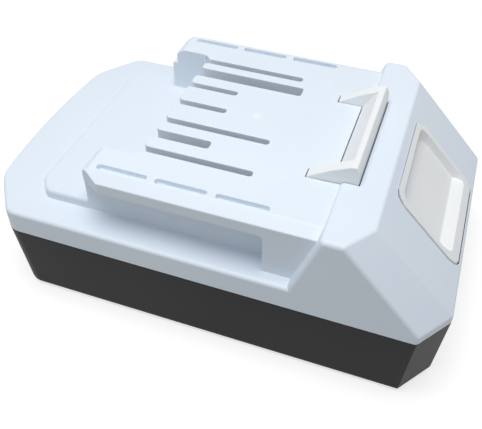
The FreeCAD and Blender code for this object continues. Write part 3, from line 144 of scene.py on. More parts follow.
class EffectLibrary:
    """The node groups that several finishes share, each made once."""

    _made: dict[str, bpy.types.NodeTree] = {}
    PIT_SHARE = 0.55
    RUB_RANGE = (0.56, 0.74)
    PATCH_RANGE = (0.42, 0.66)
    SPECK_RANGE = (0.03, 0.09)

    @classmethod
    def group(cls, name: str, inputs: dict[str, float], outputs: Iterable[str],
              fill: Callable[[Wiring, bpy.types.Node], dict[str, bpy.types.NodeSocket]]
              ) -> bpy.types.NodeTree:
        """Make a group, or give back the one that is already there.

        Args:
            name: The group's name.
            inputs: Number inputs and their usual values, beside the Position vector.
            outputs: Names of the number outputs.
            fill: Builds the inside and returns a socket for each output.

        Returns:
            The node group.
        """
        if name in cls._made:
            return cls._made[name]
        tree = bpy.data.node_groups.new(name, "ShaderNodeTree")
        tree.interface.new_socket("Position", in_out="INPUT", socket_type="NodeSocketVector")
        for label, value in inputs.items():
            socket = tree.interface.new_socket(label, in_out="INPUT", socket_type="NodeSocketFloat")
            socket.default_value = value
        for label in outputs:
            tree.interface.new_socket(label, in_out="OUTPUT", socket_type="NodeSocketFloat")
        wiring = Wiring(tree)
        entry = wiring.add("NodeGroupInput")
        leave = wiring.add("NodeGroupOutput")
        for label, socket in fill(wiring, entry).items():
            tree.links.new(socket, leave.inputs[label])
        cls._made[name] = tree
        return tree

    @classmethod
    def moulded_grain(cls) -> bpy.types.NodeTree:
        """The spark-eroded texture of a mould: fine pits over a soft unevenness."""

        def fill(wiring: Wiring, entry: bpy.types.Node) -> dict[str, bpy.types.NodeSocket]:
            """Lay fine noise over pits and add a slow swell."""
            where = entry.outputs["Position"]
            fine = wiring.add("TexNoise", {"Vector": where, "Scale": entry.outputs["Grain Scale"],
                                           "Detail": 3.0, "Roughness": 0.6})
            pit_scale = wiring.math("MULTIPLY", entry.outputs["Grain Scale"], cls.PIT_SHARE)
            pits = wiring.add("TexVoronoi", {"Vector": where, "Scale": pit_scale})
            swell = wiring.add("TexNoise", {"Vector": where, "Scale": 60.0, "Detail": 1.0})
            rough = wiring.math("MULTIPLY_ADD", pits.outputs["Distance"], 0.5, fine.outputs[0])
            height = wiring.math("MULTIPLY_ADD", swell.outputs[0], entry.outputs["Swell"], rough)
            return {"Height": height, "Fleck": fine.outputs[0]}

        return cls.group("moulded_grain", {"Grain Scale": 4000.0, "Swell": 0.6}, ("Height", "Fleck"), fill)

    @classmethod
    def handling_marks(cls) -> bpy.types.NodeTree:
        """Faint rub marks and specks of dust, in patches."""

        def fill(wiring: Wiring, entry: bpy.types.Node) -> dict[str, bpy.types.NodeSocket]:
            """Stretch noise into short rubs and scatter specks between them."""
            where = entry.outputs["Position"]
            long = wiring.add("Mapping", {"Vector": where, "Scale": (1.0, 9.0, 3.0)})
            rubs = wiring.add("TexNoise", {"Vector": long.outputs[0], "Scale": 90.0, "Detail": 5.0})
            rubbed = wiring.step(rubs.outputs[0], *cls.RUB_RANGE)
            patch = wiring.add("TexNoise", {"Vector": where, "Scale": 22.0, "Detail": 2.0})
            patchy = wiring.step(patch.outputs[0], *cls.PATCH_RANGE)
            specks = wiring.add("TexVoronoi", {"Vector": where, "Scale": 230.0})
            clear = wiring.step(specks.outputs["Distance"], *cls.SPECK_RANGE)
            speck = wiring.math("MULTIPLY", wiring.math("SUBTRACT", 1.0, clear), patchy)
            both = wiring.math("MAXIMUM", wiring.math("MULTIPLY", rubbed, patchy), speck)
            mask = wiring.math("MULTIPLY", both, entry.outputs["Amount"])
            return {"Mask": mask, "Patch": patch.outputs[0]}

        return cls.group("handling_marks", {"Amount": 0.5}, ("Mask", "Patch"), fill)

    @classmethod
    def drawn_lines(cls) -> bpy.types.NodeTree:
        """Fine lines along a rolled or drawn metal."""

        def fill(wiring: Wiring, entry: bpy.types.Node) -> dict[str, bpy.types.NodeSocket]:
            """Squeeze noise across the drawing direction."""
            where = entry.outputs["Position"]
            drawn = wiring.add("Mapping", {"Vector": where, "Scale": (0.04, 1.0, 1.0)})
            lines = wiring.add("TexNoise", {"Vector": drawn.outputs[0], "Scale": entry.outputs["Line Scale"],
                                            "Detail": 4.0, "Roughness": 0.7})
            blotch = wiring.add("TexNoise", {"Vector": where, "Scale": 160.0, "Detail": 2.0})
            return {"Height": lines.outputs[0], "Blotch": blotch.outputs[0]}

        return cls.group("drawn_lines", {"Line Scale": 6000.0}, ("Height", "Blotch"), fill)


@dataclass(frozen=True)
class Finish:
    """What every finish has: a name, its main colour and how rough it is."""

    name: str
    colour: Colour
    roughness: float

    def material(self) -> bpy.types.Material:
        """Give the finish's material, which is made the first time it is asked for."""
        known = bpy.data.materials.get(self.name)
        if known:
            return known
        made = bpy.data.materials.new(self.name)
        made.use_nodes = True
        made.diffuse_color = self.colour
        wiring = Wiring(made.node_tree)
        shader = made.node_tree.nodes["Principled BSDF"]
        place = wiring.add("TexCoord").outputs["Object"]
        self.wire(wiring, shader, place)
        return made

    def wire(self, wiring: Wiring, shader: bpy.types.Node, place: bpy.types.NodeSocket) -> None:
        """Join the finish's own nodes to the shader."""
        raise NotImplementedError

    @staticmethod
    def effect(wiring: Wiring, tree: bpy.types.NodeTree, place: bpy.types.NodeSocket,
               **values: float) -> bpy.types.Node:
        """Place a shared effect with this finish's own values.

        Args:
            wiring: The tree to place it in.
            tree: The effect's node group.
            place: Where on the surface the effect is read.
            values: The effect's number inputs, with underscores for spaces.

        Returns:
            The group node.
        """
        node = wiring.add("Group", node_tree=tree)
        wiring.tree.links.new(place, node.inputs["Position"])
        for name, value in values.items():
            node.inputs[name.replace("_", " ")].default_value = value
        return node

    @staticmethod
    def emboss(wiring: Wiring, shader: bpy.types.Node, height: bpy.types.NodeSocket, strength: float,
               depth: float) -> None:
        """Feed a height to the shader's normal.

        Args:
            wiring: The tree to work in.
            shader: The shader whose normal it feeds.
            height: The height to emboss.
            strength: How strongly, from 0 to 1.
            depth: The height's full depth in millimetres.
        """
        bump = wiring.add("Bump", {"Strength": strength, "Distance": depth * MM, "Height": height})
        wiring.tree.links.new(bump.outputs[0], shader.inputs["Normal"])


@dataclass(frozen=True)
class MouldedPlastic(Finish):
    """Injection-moulded plastic with a fine satin texture."""

    SLOW_RANGE: ClassVar[tuple[float, float]] = (0.35, 0.65)
    EDGE_HIGHLIGHT_SHARE: ClassVar[float] = 0.6
    FLECK_SWING: ClassVar[float] = 0.12
    RUBBED_ROUGHER: ClassVar[float] = 0.15
    MOULD_MARK: ClassVar[Colour] = shade(250, 252, 254)

    second: Colour = (0.5, 0.5, 0.5, 1.0)
    # The edge colour is a painted highlight along the rounded edges.
    edge: Colour = (0.6, 0.6, 0.6, 1.0)
    grain_scale: float = 4000.0
    grain_depth: float = 0.02
    grain_strength: float = 0.25
    marks: float = 0.3
    mark_colour: Colour = (0.7, 0.7, 0.7, 1.0)
    sheen: float = 0.5

    def wire(self, wiring: Wiring, shader: bpy.types.Node, place: bpy.types.NodeSocket) -> None:
        """Vary the colour slowly, paint a highlight on the rounded edges and emboss the mould's texture."""
        grain = self.effect(wiring, EffectLibrary.moulded_grain(), place, Grain_Scale=self.grain_scale)
        marks = self.effect(wiring, EffectLibrary.handling_marks(), place, Amount=self.marks)
        slow = wiring.step(marks.outputs["Patch"], *self.SLOW_RANGE)
        base = wiring.mix(slow, self.colour, self.second)
        band = wiring.add("Attribute", attribute_name="edge_band", attribute_type="GEOMETRY")
        # Painted highlight: the rounded edges are mixed towards the lighter edge colour.
        base = wiring.mix(wiring.math("MULTIPLY", band.outputs["Fac"], self.EDGE_HIGHLIGHT_SHARE), base, self.edge)
        base = wiring.mix(marks.outputs["Mask"], base, self.mark_colour)
        smoothest = self.roughness - self.FLECK_SWING / 2
        fleck = wiring.math("MULTIPLY_ADD", grain.outputs["Fleck"], self.FLECK_SWING, smoothest)
        mould = wiring.add("Attribute", attribute_name="mould_mark", attribute_type="GEOMETRY")
        base = wiring.mix(mould.outputs["Fac"], base, self.MOULD_MARK)
        wiring.tree.links.new(base, shader.inputs["Base Color"])
        rough = wiring.math("MULTIPLY_ADD", marks.outputs["Mask"], self.RUBBED_ROUGHER, fleck)
        wiring.tree.links.new(rough, shader.inputs["Roughness"])
        shader.inputs["Specular IOR Level"].default_value = self.sheen
        self.emboss(wiring, shader, grain.outputs["Height"], self.grain_strength, self.grain_depth)


@dataclass(frozen=True)
class PlainMetal(Finish):
    """Rolled, drawn or plated metal with fine lines and a little tarnish."""

    TARNISH_RANGE: ClassVar[tuple[float, float]] = (0.45, 0.75)
    LINE_SWING: ClassVar[float] = 0.2
    LINE_STRENGTH: ClassVar[float] = 0.3

    tarnish: Colour = (0.3, 0.3, 0.3, 1.0)
    line_scale: float = 6000.0
    depth: float = 0.01

    def wire(self, wiring: Wiring, shader: bpy.types.Node, place: bpy.types.NodeSocket) -> None:
        """Tarnish the colour in patches and emboss the lines."""
        lines = self.effect(wiring, EffectLibrary.drawn_lines(), place, Line_Scale=self.line_scale)
        patches = wiring.step(lines.outputs["Blotch"], *self.TARNISH_RANGE)
        wiring.tree.links.new(wiring.mix(patches, self.colour, self.tarnish), shader.inputs["Base Color"])
        shader.inputs["Metallic"].default_value = 1.0
        smoothest = self.roughness - self.LINE_SWING / 2
        rough = wiring.math("MULTIPLY_ADD", lines.outputs["Height"], self.LINE_SWING, smoothest)
        wiring.tree.links.new(rough, shader.inputs["Roughness"])
        self.emboss(wiring, shader, lines.outputs["Height"], self.LINE_STRENGTH, self.depth)


@dataclass(frozen=True)
class ShrinkSleeve(Finish):
    """The thin plastic sleeve shrunk over a cell, with bare steel at its ends."""

    SLEEVE_END: ClassVar[float] = 1.1
    STEEL_START: ClassVar[float] = 0.9
    WRINKLE_SWING: ClassVar[float] = 0.15
    WRINKLE_LOW: ClassVar[float] = 0.08
    WRINKLE_STRENGTH: ClassVar[float] = 0.3
    WRINKLE_DEPTH: ClassVar[float] = 0.05
    COAT: ClassVar[float] = 0.3

    steel: Colour = (0.5, 0.5, 0.5, 1.0)
    half_length: float = 32.5

    def wire(self, wiring: Wiring, shader: bpy.types.Node, place: bpy.types.NodeSocket) -> None:
        """Bare the steel at both ends and wrinkle the sleeve a little near them."""
        across = wiring.add("SeparateXYZ", {"Vector": place}).outputs["Y"]
        out = wiring.math("ABSOLUTE", across)
        bare = wiring.step(out, (self.half_length - self.SLEEVE_END) * MM,
                           (self.half_length - self.STEEL_START) * MM)
        wiring.tree.links.new(wiring.mix(bare, self.colour, self.steel), shader.inputs["Base Color"])
        wiring.tree.links.new(bare, shader.inputs["Metallic"])
        pulled = wiring.add("Mapping", {"Vector": place, "Scale": (1.0, 0.25, 1.0)})
        wrinkle = wiring.add("TexNoise", {"Vector": pulled.outputs[0], "Scale": 300.0, "Detail": 2.0})
        smoothest = self.roughness - self.WRINKLE_LOW
        rough = wiring.math("MULTIPLY_ADD", wrinkle.outputs[0], self.WRINKLE_SWING, smoothest)
        wiring.tree.links.new(rough, shader.inputs["Roughness"])
        shader.inputs["Coat Weight"].default_value = self.COAT
        self.emboss(wiring, shader, wrinkle.outputs[0], self.WRINKLE_STRENGTH, self.WRINKLE_DEPTH)


@dataclass(frozen=True)
class BoardLaminate(Finish):
    """A circuit board: green resist over copper runs."""

    COAT: ClassVar[float] = 0.5
    RUN_STRENGTH: ClassVar[float] = 0.5
    RUN_DEPTH: ClassVar[float] = 0.03

    copper: Colour = (0.2, 0.4, 0.15, 1.0)

    def wire(self, wiring: Wiring, shader: bpy.types.Node, place: bpy.types.NodeSocket) -> None:
        """Show the copper runs under the resist as a lighter green and raise them a little."""
        turned = wiring.add("Mapping", {"Vector": place, "Scale": (260.0, 420.0, 1.0)})
        blocks = wiring.add("TexBrick", {"Vector": turned.outputs[0], "Scale": 1.0, "Mortar Size": 0.12,
                                         "Mortar Smooth": 0.2, "Brick Width": 1.6, "Row Height": 0.8})
        runs = blocks.outputs["Fac"]
        wiring.tree.links.new(wiring.mix(runs, self.copper, self.colour), shader.inputs["Base Color"])
        shader.inputs["Roughness"].default_value = self.roughness
        shader.inputs["Coat Weight"].default_value = self.COAT
        self.emboss(wiring, shader, runs, self.RUN_STRENGTH, self.RUN_DEPTH)


@dataclass(frozen=True)
class FibrousSheet(Finish):
    """Pressed paper or closed-cell foam: a speckled, dull sheet."""

    SPECK_RANGE: ClassVar[tuple[float, float]] = (0.4, 0.62)
    CELL_STRENGTH: ClassVar[float] = 0.5

    speck: Colour = (0.3, 0.3, 0.3, 1.0)
    scale: float = 1500.0
    depth: float = 0.05

    def wire(self, wiring: Wiring, shader: bpy.types.Node, place: bpy.types.NodeSocket) -> None:
        """Speckle the colour and emboss the fibres or cells."""
        cells = wiring.add("TexVoronoi", {"Vector": place, "Scale": self.scale})
        fibres = wiring.add("TexNoise", {"Vector": place, "Scale": self.scale / 2, "Detail": 4.0})
        amount = wiring.step(fibres.outputs[0], *self.SPECK_RANGE)
        wiring.tree.links.new(wiring.mix(amount, self.colour, self.speck), shader.inputs["Base Color"])
        shader.inputs["Roughness"].default_value = self.roughness
        self.emboss(wiring, shader, cells.outputs["Distance"], self.CELL_STRENGTH, self.depth)


class Finishes:
    """Every finish of the pack."""

    # Each edge colour, lighter than its plastic, is a painted highlight on the rounded edges.
    upper = MouldedPlastic(
        "cool_white_plastic", shade(226, 236, 246), 0.5,
        second=shade(223, 233, 244), edge=shade(230, 239, 248), mark_colour=shade(205, 213, 222),
        marks=0.1, grain_scale=4200.0, grain_depth=0.012, grain_strength=0.3)
    latch = MouldedPlastic(
        "warm_white_plastic", shade(239, 241, 242), 0.4,
        second=shade(236, 239, 241), edge=shade(243, 244, 245), mark_colour=shade(222, 223, 223),
        marks=0.08, grain_scale=5200.0, grain_depth=0.008, grain_strength=0.25)
    lower = MouldedPlastic(
        "charcoal_plastic", shade(27, 26, 30), 0.5,
        second=shade(23, 22, 26), edge=shade(42, 42, 46), mark_colour=shade(50, 50, 54),
        marks=0.18, grain_scale=2600.0, grain_depth=0.03, grain_strength=0.4, sheen=0.17)
    holder = MouldedPlastic(
        "holder_plastic", shade(58, 60, 62), 0.55,
        second=shade(52, 54, 56), edge=shade(70, 72, 74), sheen=0.4)
    block = MouldedPlastic(
        "terminal_block_plastic", shade(52, 54, 58), 0.5,
        second=shade(46, 48, 52), edge=shade(64, 66, 70))
    resin = MouldedPlastic(
        "component_resin", shade(38, 38, 40), 0.5,
        second=shade(32, 32, 34), edge=shade(52, 52, 54), grain_scale=9000.0, grain_depth=0.005)
    bead = MouldedPlastic(
        "sensor_bead_resin", shade(60, 44, 34), 0.3,
        second=shade(52, 38, 30), edge=shade(70, 54, 42), grain_scale=6000.0, grain_depth=0.004)
    ceramic = MouldedPlastic(
        "capacitor_ceramic", shade(176, 146, 112), 0.45,
        second=shade(160, 130, 98), edge=shade(190, 190, 188), grain_scale=8000.0, grain_depth=0.004)
    spring = PlainMetal("spring_wire", shade(176, 178, 180), 0.3, tarnish=shade(140, 140, 142))
    nickel = PlainMetal("nickel_strip", shade(196, 194, 188), 0.32, tarnish=shade(164, 160, 152))
    contact = PlainMetal("contact_plating", shade(206, 178, 128), 0.28, tarnish=shade(170, 138, 92))
    resistor = PlainMetal("resistor_alloy", shade(150, 146, 140), 0.42, tarnish=shade(120, 112, 104))
    screw = PlainMetal("blackened_screw", shade(88, 88, 92), 0.38, tarnish=shade(62, 60, 60))
    cell = ShrinkSleeve("cell_sleeve", shade(38, 128, 132), 0.35, steel=shade(188, 188, 186))
    board = BoardLaminate("board_laminate", shade(22, 74, 44), 0.4, copper=shade(40, 104, 58))
    paper = FibrousSheet("insulation_paper", shade(206, 208, 190), 0.8, speck=shade(188, 190, 170))
    foam = FibrousSheet(
        "sealing_foam", shade(54, 54, 56), 0.95, speck=shade(40, 40, 42), scale=2400.0, depth=0.1)


def publish(piece: bpy.types.Object, body: Body, slot: str, finish: Finish, *nodes: str) -> bpy.types.Object:
    """Put a finished piece on its body in place of the CAD nodes that it stands for.

    Args:
        piece: The finished object.
        body: The body that it rides on.
        slot: The record's material slot; it is not used.
        finish: Its finish.
        nodes: The CAD nodes that it stands for.

    Returns:
        The same object.
    """
    piece.data.materials.clear()
    piece.data.materials.append(finish.material())
    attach(piece, body.value)
    if nodes:
        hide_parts(*nodes)
    LOG.info("%s: %d faces", piece.name, len(piece.data.polygons))
    return piece


def as_object(name: str, shape: bmesh.types.BMesh) -> bpy.types.Object:
    """Turn a bmesh into an object at the origin.

    Args:
        name: The object's name.
        shape: The bmesh, which is freed.

    Returns:
        The linked object.
    """
    mesh = bpy.data.meshes.new(name)
    shape.to_mesh(mesh)
    shape.free()
    piece = bpy.data.objects.new(name, mesh)
    bpy.context.scene.collection.objects.link(piece)
    return piece


@dataclass
class SoftenedSolid:
    """A copy of a CAD solid whose sharp edges are rounded as a mould rounds them.

    Lengths are in millimetres and angles in degrees. A limit named SHARE counts in roundings or,
    for STEP_SHARE, in the way from a corner to the middle of its triangle. The sliver limit is
    twice an area, in square metres.
    """

    MERGE_DISTANCE: ClassVar[float] = 0.002
    FLAT_ANGLE: ClassVar[float] = 0.6
    ROUNDED_BREAK_ANGLE: ClassVar[float] = 50.0
    NORMAL_WEIGHT: ClassVar[int] = 80
    NORMAL_THRESHOLD: ClassVar[float] = 0.005
    STRAY_SHARE: ClassVar[float] = 0.42
    SLIVER: ClassVar[float] = 2e-11
    LEANING_COSINE: ClassVar[float] = 0.9
    FOLDED_COSINE: ClassVar[float] = -0.2
    STEP_SHARE: ClassVar[float] = 0.1
    REACH_SHARE: ClassVar[float] = 2.0
    SHORT_SHARE: ClassVar[float] = 4.0

    node: str
    body: Body
    slot: str
    finish: Finish
    round_size: float = 0.3
    segments: int = 3
    sharp_angle: float = 24.0
    tries: int = 12

    def build(self) -> bpy.types.Object:
        """Copy, merge and round the solid, then dress it.

        Returns:
            The finished piece.
        """
        solid = bmesh.new()
        solid.from_mesh(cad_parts[self.node].data)
        bmesh.ops.remove_doubles(solid, verts=solid.verts, dist=self.MERGE_DISTANCE * MM)
        bmesh.ops.dissolve_limit(
            solid, angle_limit=math.radians(self.FLAT_ANGLE), verts=solid.verts, edges=solid.edges)
        self.refit(solid)
        shape = self.softened(solid)
        solid.free()
        self.add_details(shape)
        self.shade_smooth(shape)
        piece = as_object(self.node + "_moulding", shape)
        even = piece.modifiers.new("flat_faces", "WEIGHTED_NORMAL")
        even.keep_sharp = True
        even.mode = "FACE_AREA"
        even.weight = self.NORMAL_WEIGHT
        even.thresh = self.NORMAL_THRESHOLD
        return publish(piece, self.body, self.slot, self.finish, self.node)

    def shade_smooth(self, shape: bmesh.types.BMesh) -> None:
        """Shade every face smooth, with a break along the sharp edges that were not rounded."""
        band = shape.faces.layers.float["edge_band"]
        for face in shape.faces:
            face.smooth = True
        for edge in shape.edges:
            if len(edge.link_faces) == 2:
                rounded = any(face[band] for face in edge.link_faces)
                turn = math.degrees(edge.calc_face_angle(0.0))
                edge.smooth = turn < (self.ROUNDED_BREAK_ANGLE if rounded else self.sharp_angle)

    def is_sharp(self, edge: bmesh.types.BMEdge) -> bool:
        """Whether an edge is one that gets rounded."""
        return len(edge.link_faces) == 2 and math.degrees(edge.calc_face_angle(0.0)) > self.sharp_angle

    def refit(self, solid: bmesh.types.BMesh) -> None:
        """Shift a face before the rounding; a plain piece keeps them all."""

    def softened(self, solid: bmesh.types.BMesh) -> bmesh.types.BMesh:
        """Round the sharp edges, and leave out those whose rounding would fold or stick out.

        Args:
            solid: The merged solid, which stays as it is.

        Returns:
            A rounded copy.
        """
        solid.verts.index_update()
        solid.edges.index_update()
        solid.verts.ensure_lookup_table()
        solid.edges.ensure_lookup_table()
        surface = BVHTree.FromBMesh(solid)
        sharp = {edge.index for edge in solid.edges if self.is_sharp(edge)}
        shape = self.rounded(solid, sharp)
        for _ in range(self.tries):
            blamed = self.blamed_edges(solid, sharp, self.spoiled_places(shape, surface))
            if not blamed:
                break
            sharp -= blamed
            shape.free()
            shape = self.rounded(solid, sharp)
        LOG.info("%s: %d edges rounded", self.node, len(sharp))
        return shape

    def rounded(self, solid: bmesh.types.BMesh, sharp: set[int]) -> bmesh.types.BMesh:
        """Copy the solid, round the given edges and mark the new faces."""
        shape = solid.copy()
        shape.edges.ensure_lookup_table()
        band = shape.faces.layers.float.new("edge_band")
        done = bmesh.ops.bevel(shape, geom=[shape.edges[number] for number in sorted(sharp)],
                               offset=self.round_size * MM, offset_type="OFFSET", segments=self.segments,
                               profile=0.5, affect="EDGES", clamp_overlap=False, material=-1, loop_slide=True)
        for face in done["faces"]:
            if face.is_valid:
                face[band] = 1.0
        shape.normal_update()
        return shape

    def spoiled_places(self, shape: bmesh.types.BMesh, surface: BVHTree) -> list[Vector]:
        """Find where a rounded copy leaves the solid's surface or folds over itself.

        Args:
            shape: The rounded copy.
            surface: The solid's own surface.

        Returns:
            The places of the vertices there and of their neighbours.
        """
        limit = self.STRAY_SHARE * self.round_size * MM
        strays = {vert for vert in shape.verts if surface.find_nearest(vert.co)[3] > limit}
        places = [vert.co for vert in strays]
        places += [edge.other_vert(vert).co for vert in strays for edge in vert.link_edges]
        for loops in shape.calc_loop_triangles():
            corners = [loop.vert.co for loop in loops]
            square = (corners[1] - corners[0]).cross(corners[2] - corners[0])
            if square.length < self.SLIVER:
                continue
            middle = (corners[0] + corners[1] + corners[2]) / 3
            _, normal, _, away = surface.find_nearest(middle)
            folded = False
            if normal.dot(square) < self.LEANING_COSINE * square.length:
                found = [surface.find_nearest(corner.lerp(middle, self.STEP_SHARE)) for corner in corners]
                folded = min(hit[1].dot(square) for hit in found) < self.FOLDED_COSINE * square.length
            if folded or away > limit:
                places += corners
        return places

    def blamed_edges(self, solid: bmesh.types.BMesh, sharp: set[int], places: list[Vector]) -> set[int]:
        """Pick the rounded edges to give up near the given places, the short ones first.

        Args:
            solid: The merged solid.
            sharp: The numbers of the edges that are rounded.
            places: Where the rounding went wrong.

        Returns:
            The numbers of the edges to leave sharp.
        """
        corners = sorted({vert.index for number in sharp for vert in solid.edges[number].verts})
        tree = KDTree(len(corners))
        for corner in corners:
            tree.insert(solid.verts[corner].co, corner)
        tree.balance()
        reach = self.REACH_SHARE * self.round_size * MM
        near = {corner for place in places for _, corner, _ in tree.find_range(place, reach)}
        shortest = set()
        for corner in near:
            edges = [edge for edge in solid.verts[corner].link_edges if edge.index in sharp]
            shortest.add(min(edges, key=lambda edge: (edge.calc_length(), edge.index)))
        limit = self.SHORT_SHARE * self.round_size * MM
        short = {edge.index for edge in shortest if edge.calc_length() < limit}
        return short or {edge.index for edge in shortest}

    def add_details(self, shape: bmesh.types.BMesh) -> None:
        """Add what the solid leaves out; a plain piece has nothing."""


@dataclass(frozen=True)
class MouldMark:
    """A faint round mark: its middle, its radius and how much paler it is than the plastic."""

    x: float
    y: float
    radius: float
    paleness: float


@dataclass
class UpperShell(SoftenedSolid):
    """The white upper shell, with the faint round marks that its mould leaves."""

    MARK_SIDES: ClassVar[int] = 28

    marks: tuple[MouldMark, ...] = (
        MouldMark(2.8, 0.8, 1.8, 0.28), MouldMark(15.0, -20.0, 2.1, 0.06), MouldMark(16.4, 20.9, 1.6, 0.06))
    platform: float = 43.9
    mark_rise: float = 0.02
    mark_depth: float = 0.4
    mark_steps: tuple[float, ...] = (0.25, 0.6)
    step_width: float = 0.22

    def add_details(self, shape: bmesh.types.BMesh) -> None:
        """Stand a disc in the platform at each mark, whose low steps grow paler inwards."""
        mould = shape.faces.layers.float.new("mould_mark")
        for mark in self.marks:
            middle = self.platform - self.mark_depth / 2
            place = Matrix.Translation((mark.x * MM, mark.y * MM, middle * MM))
            disc = bmesh.ops.create_cone(
                shape, cap_ends=True, segments=self.MARK_SIDES, radius1=mark.radius * MM,
                radius2=mark.radius * MM, depth=self.mark_depth * MM, matrix=place)
            faces = {face for vert in disc["verts"] for face in vert.link_faces}
            top = max(faces, key=lambda face: face.calc_center_median().z)
            top[mould] = mark.paleness
            for share in self.mark_steps:
                ring = bmesh.ops.inset_region(
                    shape, faces=[top], thickness=mark.radius * self.step_width * MM,
                    depth=self.mark_rise * MM)
                for part in ring["faces"]:
                    part[mould] = mark.paleness * share


@dataclass
class LatchMoulding(SoftenedSolid):
    """The hook and the thumb button, whose upper end nearly touches the case."""

    WALL_TOLERANCE: ClassVar[float] = 0.02
    EDGE_TOLERANCE: ClassVar[float] = 0.2

    button_start: float = 41.4
    button_top: float = 43.0
    nearer: float = 0.17

    def refit(self, solid: bmesh.types.BMesh) -> None:
        """Bring the button's upper end nearer to the opening, along its own 45 degree slope."""
        for vert in solid.verts:
            if abs(vert.co.x - self.button_start * MM) < self.WALL_TOLERANCE * MM:
                vert.co.x -= self.nearer * MM
                if abs(vert.co.z - self.button_top * MM) < self.EDGE_TOLERANCE * MM:
                    vert.co.z += self.nearer * MM


@dataclass
class CoilSpring:
    """One of the two latch springs, wound from round wire with closed ends.

    The closed turns rise by CLOSED_PITCH wire radii a turn, a little more than the wire is thick.
    """

    CLOSED_PITCH: ClassVar[float] = 2.1
    WIRE_SIDES: ClassVar[int] = 10
    MERGE_DISTANCE: ClassVar[float] = 0.005

    side: str
    offset: float
    centre_x: float = 48.5
    foot: float = 8.1
    head: float = 24.9
    coil_radius: float = 2.8
    wire_radius: float = 0.35
    open_turns: int = 6
    closed_turns: int = 1
    steps: int = 20
    squeezed: float = 0.667

    def build(self) -> bpy.types.Object:
        """Wind the wire: a closed turn, the open turns and another closed turn.

        Returns:
            The finished spring.
        """
        shape = bmesh.new()
        first = (self.centre_x + self.coil_radius, self.offset, self.foot + self.wire_radius)
        upright = Matrix.Translation(Vector(first) * MM) @ Matrix.Rotation(math.pi / 2, 4, "X")
        bmesh.ops.create_circle(
            shape, cap_ends=True, segments=self.WIRE_SIDES, radius=self.wire_radius * MM, matrix=upright)
        closed_rise = self.CLOSED_PITCH * self.wire_radius
        height = self.head - self.foot - 2 * self.wire_radius
        open_rise = (height - 2 * self.closed_turns * closed_rise) / self.open_turns
        ring = list(shape.faces)
        for turns, rise in ((self.closed_turns, closed_rise), (self.open_turns, open_rise),
                            (self.closed_turns, closed_rise)):
            ring = self.wind(shape, ring, turns, rise)
        bmesh.ops.remove_doubles(shape, verts=shape.verts, dist=self.MERGE_DISTANCE * MM)
        bmesh.ops.recalc_face_normals(shape, faces=shape.faces)
        for face in shape.faces:
            face.smooth = len(face.verts) == 4
        coil = as_object(f"latch_coil_{self.side}", shape)
        publish(coil, Body.CASE, "spring_steel", Finishes.spring, f"latch_spring_{self.side}")
        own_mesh(coil)
        return coil

    def wind(self, shape: bmesh.types.BMesh, ring: list, turns: int, rise: float) -> list:
        """Spin the wire's end face for some turns while it rises.

        Args:
            shape: The bmesh to work in.
            ring: The wire's end face.
            turns: How many turns.
            rise: How far it rises a turn.

        Returns:
            The wire's new end face.
        """
        count = turns * self.steps
        made = bmesh.ops.spin(
            shape, geom=ring, cent=(self.centre_x * MM, self.offset * MM, 0), axis=(0, 0, 1),
            dvec=(0, 0, rise * MM / self.steps), angle=turns * 2 * math.pi, steps=count)
        return [item for item in made["geom_last"] if isinstance(item, bmesh.types.BMFace)]


@dataclass
class DressedNodes:
    """CAD nodes whose shape is right and that only take a finish."""

    finish: Finish
    nodes: tuple[str, ...]

    def build(self) -> None:
        """Put the finish in each node's material slots."""
        for name in self.nodes:
            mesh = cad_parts[name].data
            mesh.materials.clear()
            mesh.materials.append(self.finish.material())
            LOG.info("%s: %s", name, self.finish.name)


class Case:
    """The two shells and the screws that hold them together."""

    upper = UpperShell("upper_shell", Body.CASE, "white_plastic", Finishes.upper, round_size=0.22)
    lower = SoftenedSolid("lower_shell", Body.CASE, "dark_plastic", Finishes.lower, round_size=0.15)
    screws = SoftenedSolid(
        "case_screws", Body.CASE, "screw_steel", Finishes.screw, round_size=0.12, segments=2)

    def build(self) -> None:
        """Build the shells and the screws."""
        for member in (self.upper, self.lower, self.screws):
            member.build()


class Latch:
    """The release latch and its springs."""

    moulding = LatchMoulding("release_latch", Body.LATCH, "latch_plastic", Finishes.latch, round_size=0.3)
    springs = (CoilSpring("left", -9.0), CoilSpring("right", 9.0))

    def build(self) -> None:
        """Build the latch and wind its springs."""
        self.moulding.build()
        for spring in self.springs:
            spring.build()


class Contacts:
    """The clips that stand in the slots, and their block."""

    names = ("signal_1", "positive", "signal_2", "signal_3", "signal_4", "negative", "signal_5")

    def build(self) -> None:
        """Round the clips' edges and the block's."""
        for name in self.names:
            SoftenedSolid(
                f"{name}_terminal", Body.CASE, "contact_metal", Finishes.contact, round_size=0.08,
                segments=2).build()
        SoftenedSolid(
            "terminal_block", Body.CASE, "block_plastic", Finishes.block, round_size=0.15,
            segments=2).build()


class PowerPack:
    """The cells, their holders and strips, and the board: all sealed inside."""

    members = (
        DressedNodes(Finishes.cell, tuple(f"cell_{number}" for number in range(1, 6))),
        DressedNodes(Finishes.holder, ("cell_holder_left", "cell_holder_right")),
        DressedNodes(Finishes.nickel, ("negative_strip", "link_strip_1", "link_strip_2", "link_strip_3",
                                       "link_strip_4", "positive_strip")),
        DressedNodes(Finishes.board, ("circuit_board",)),
        DressedNodes(Finishes.resin, ("control_chip", "power_transistors")),
        DressedNodes(Finishes.resistor, ("sense_resistor",)),
        DressedNodes(Finishes.ceramic, ("board_capacitors",)),
        DressedNodes(Finishes.paper, ("insulation_sheet",)),
        DressedNodes(Finishes.foam, ("foam_pad",)),
        DressedNodes(Finishes.bead, ("temperature_sensor",)),
    )

    def build(self) -> None:
        """Dress every inner node."""
        for member in self.members:
            member.build()


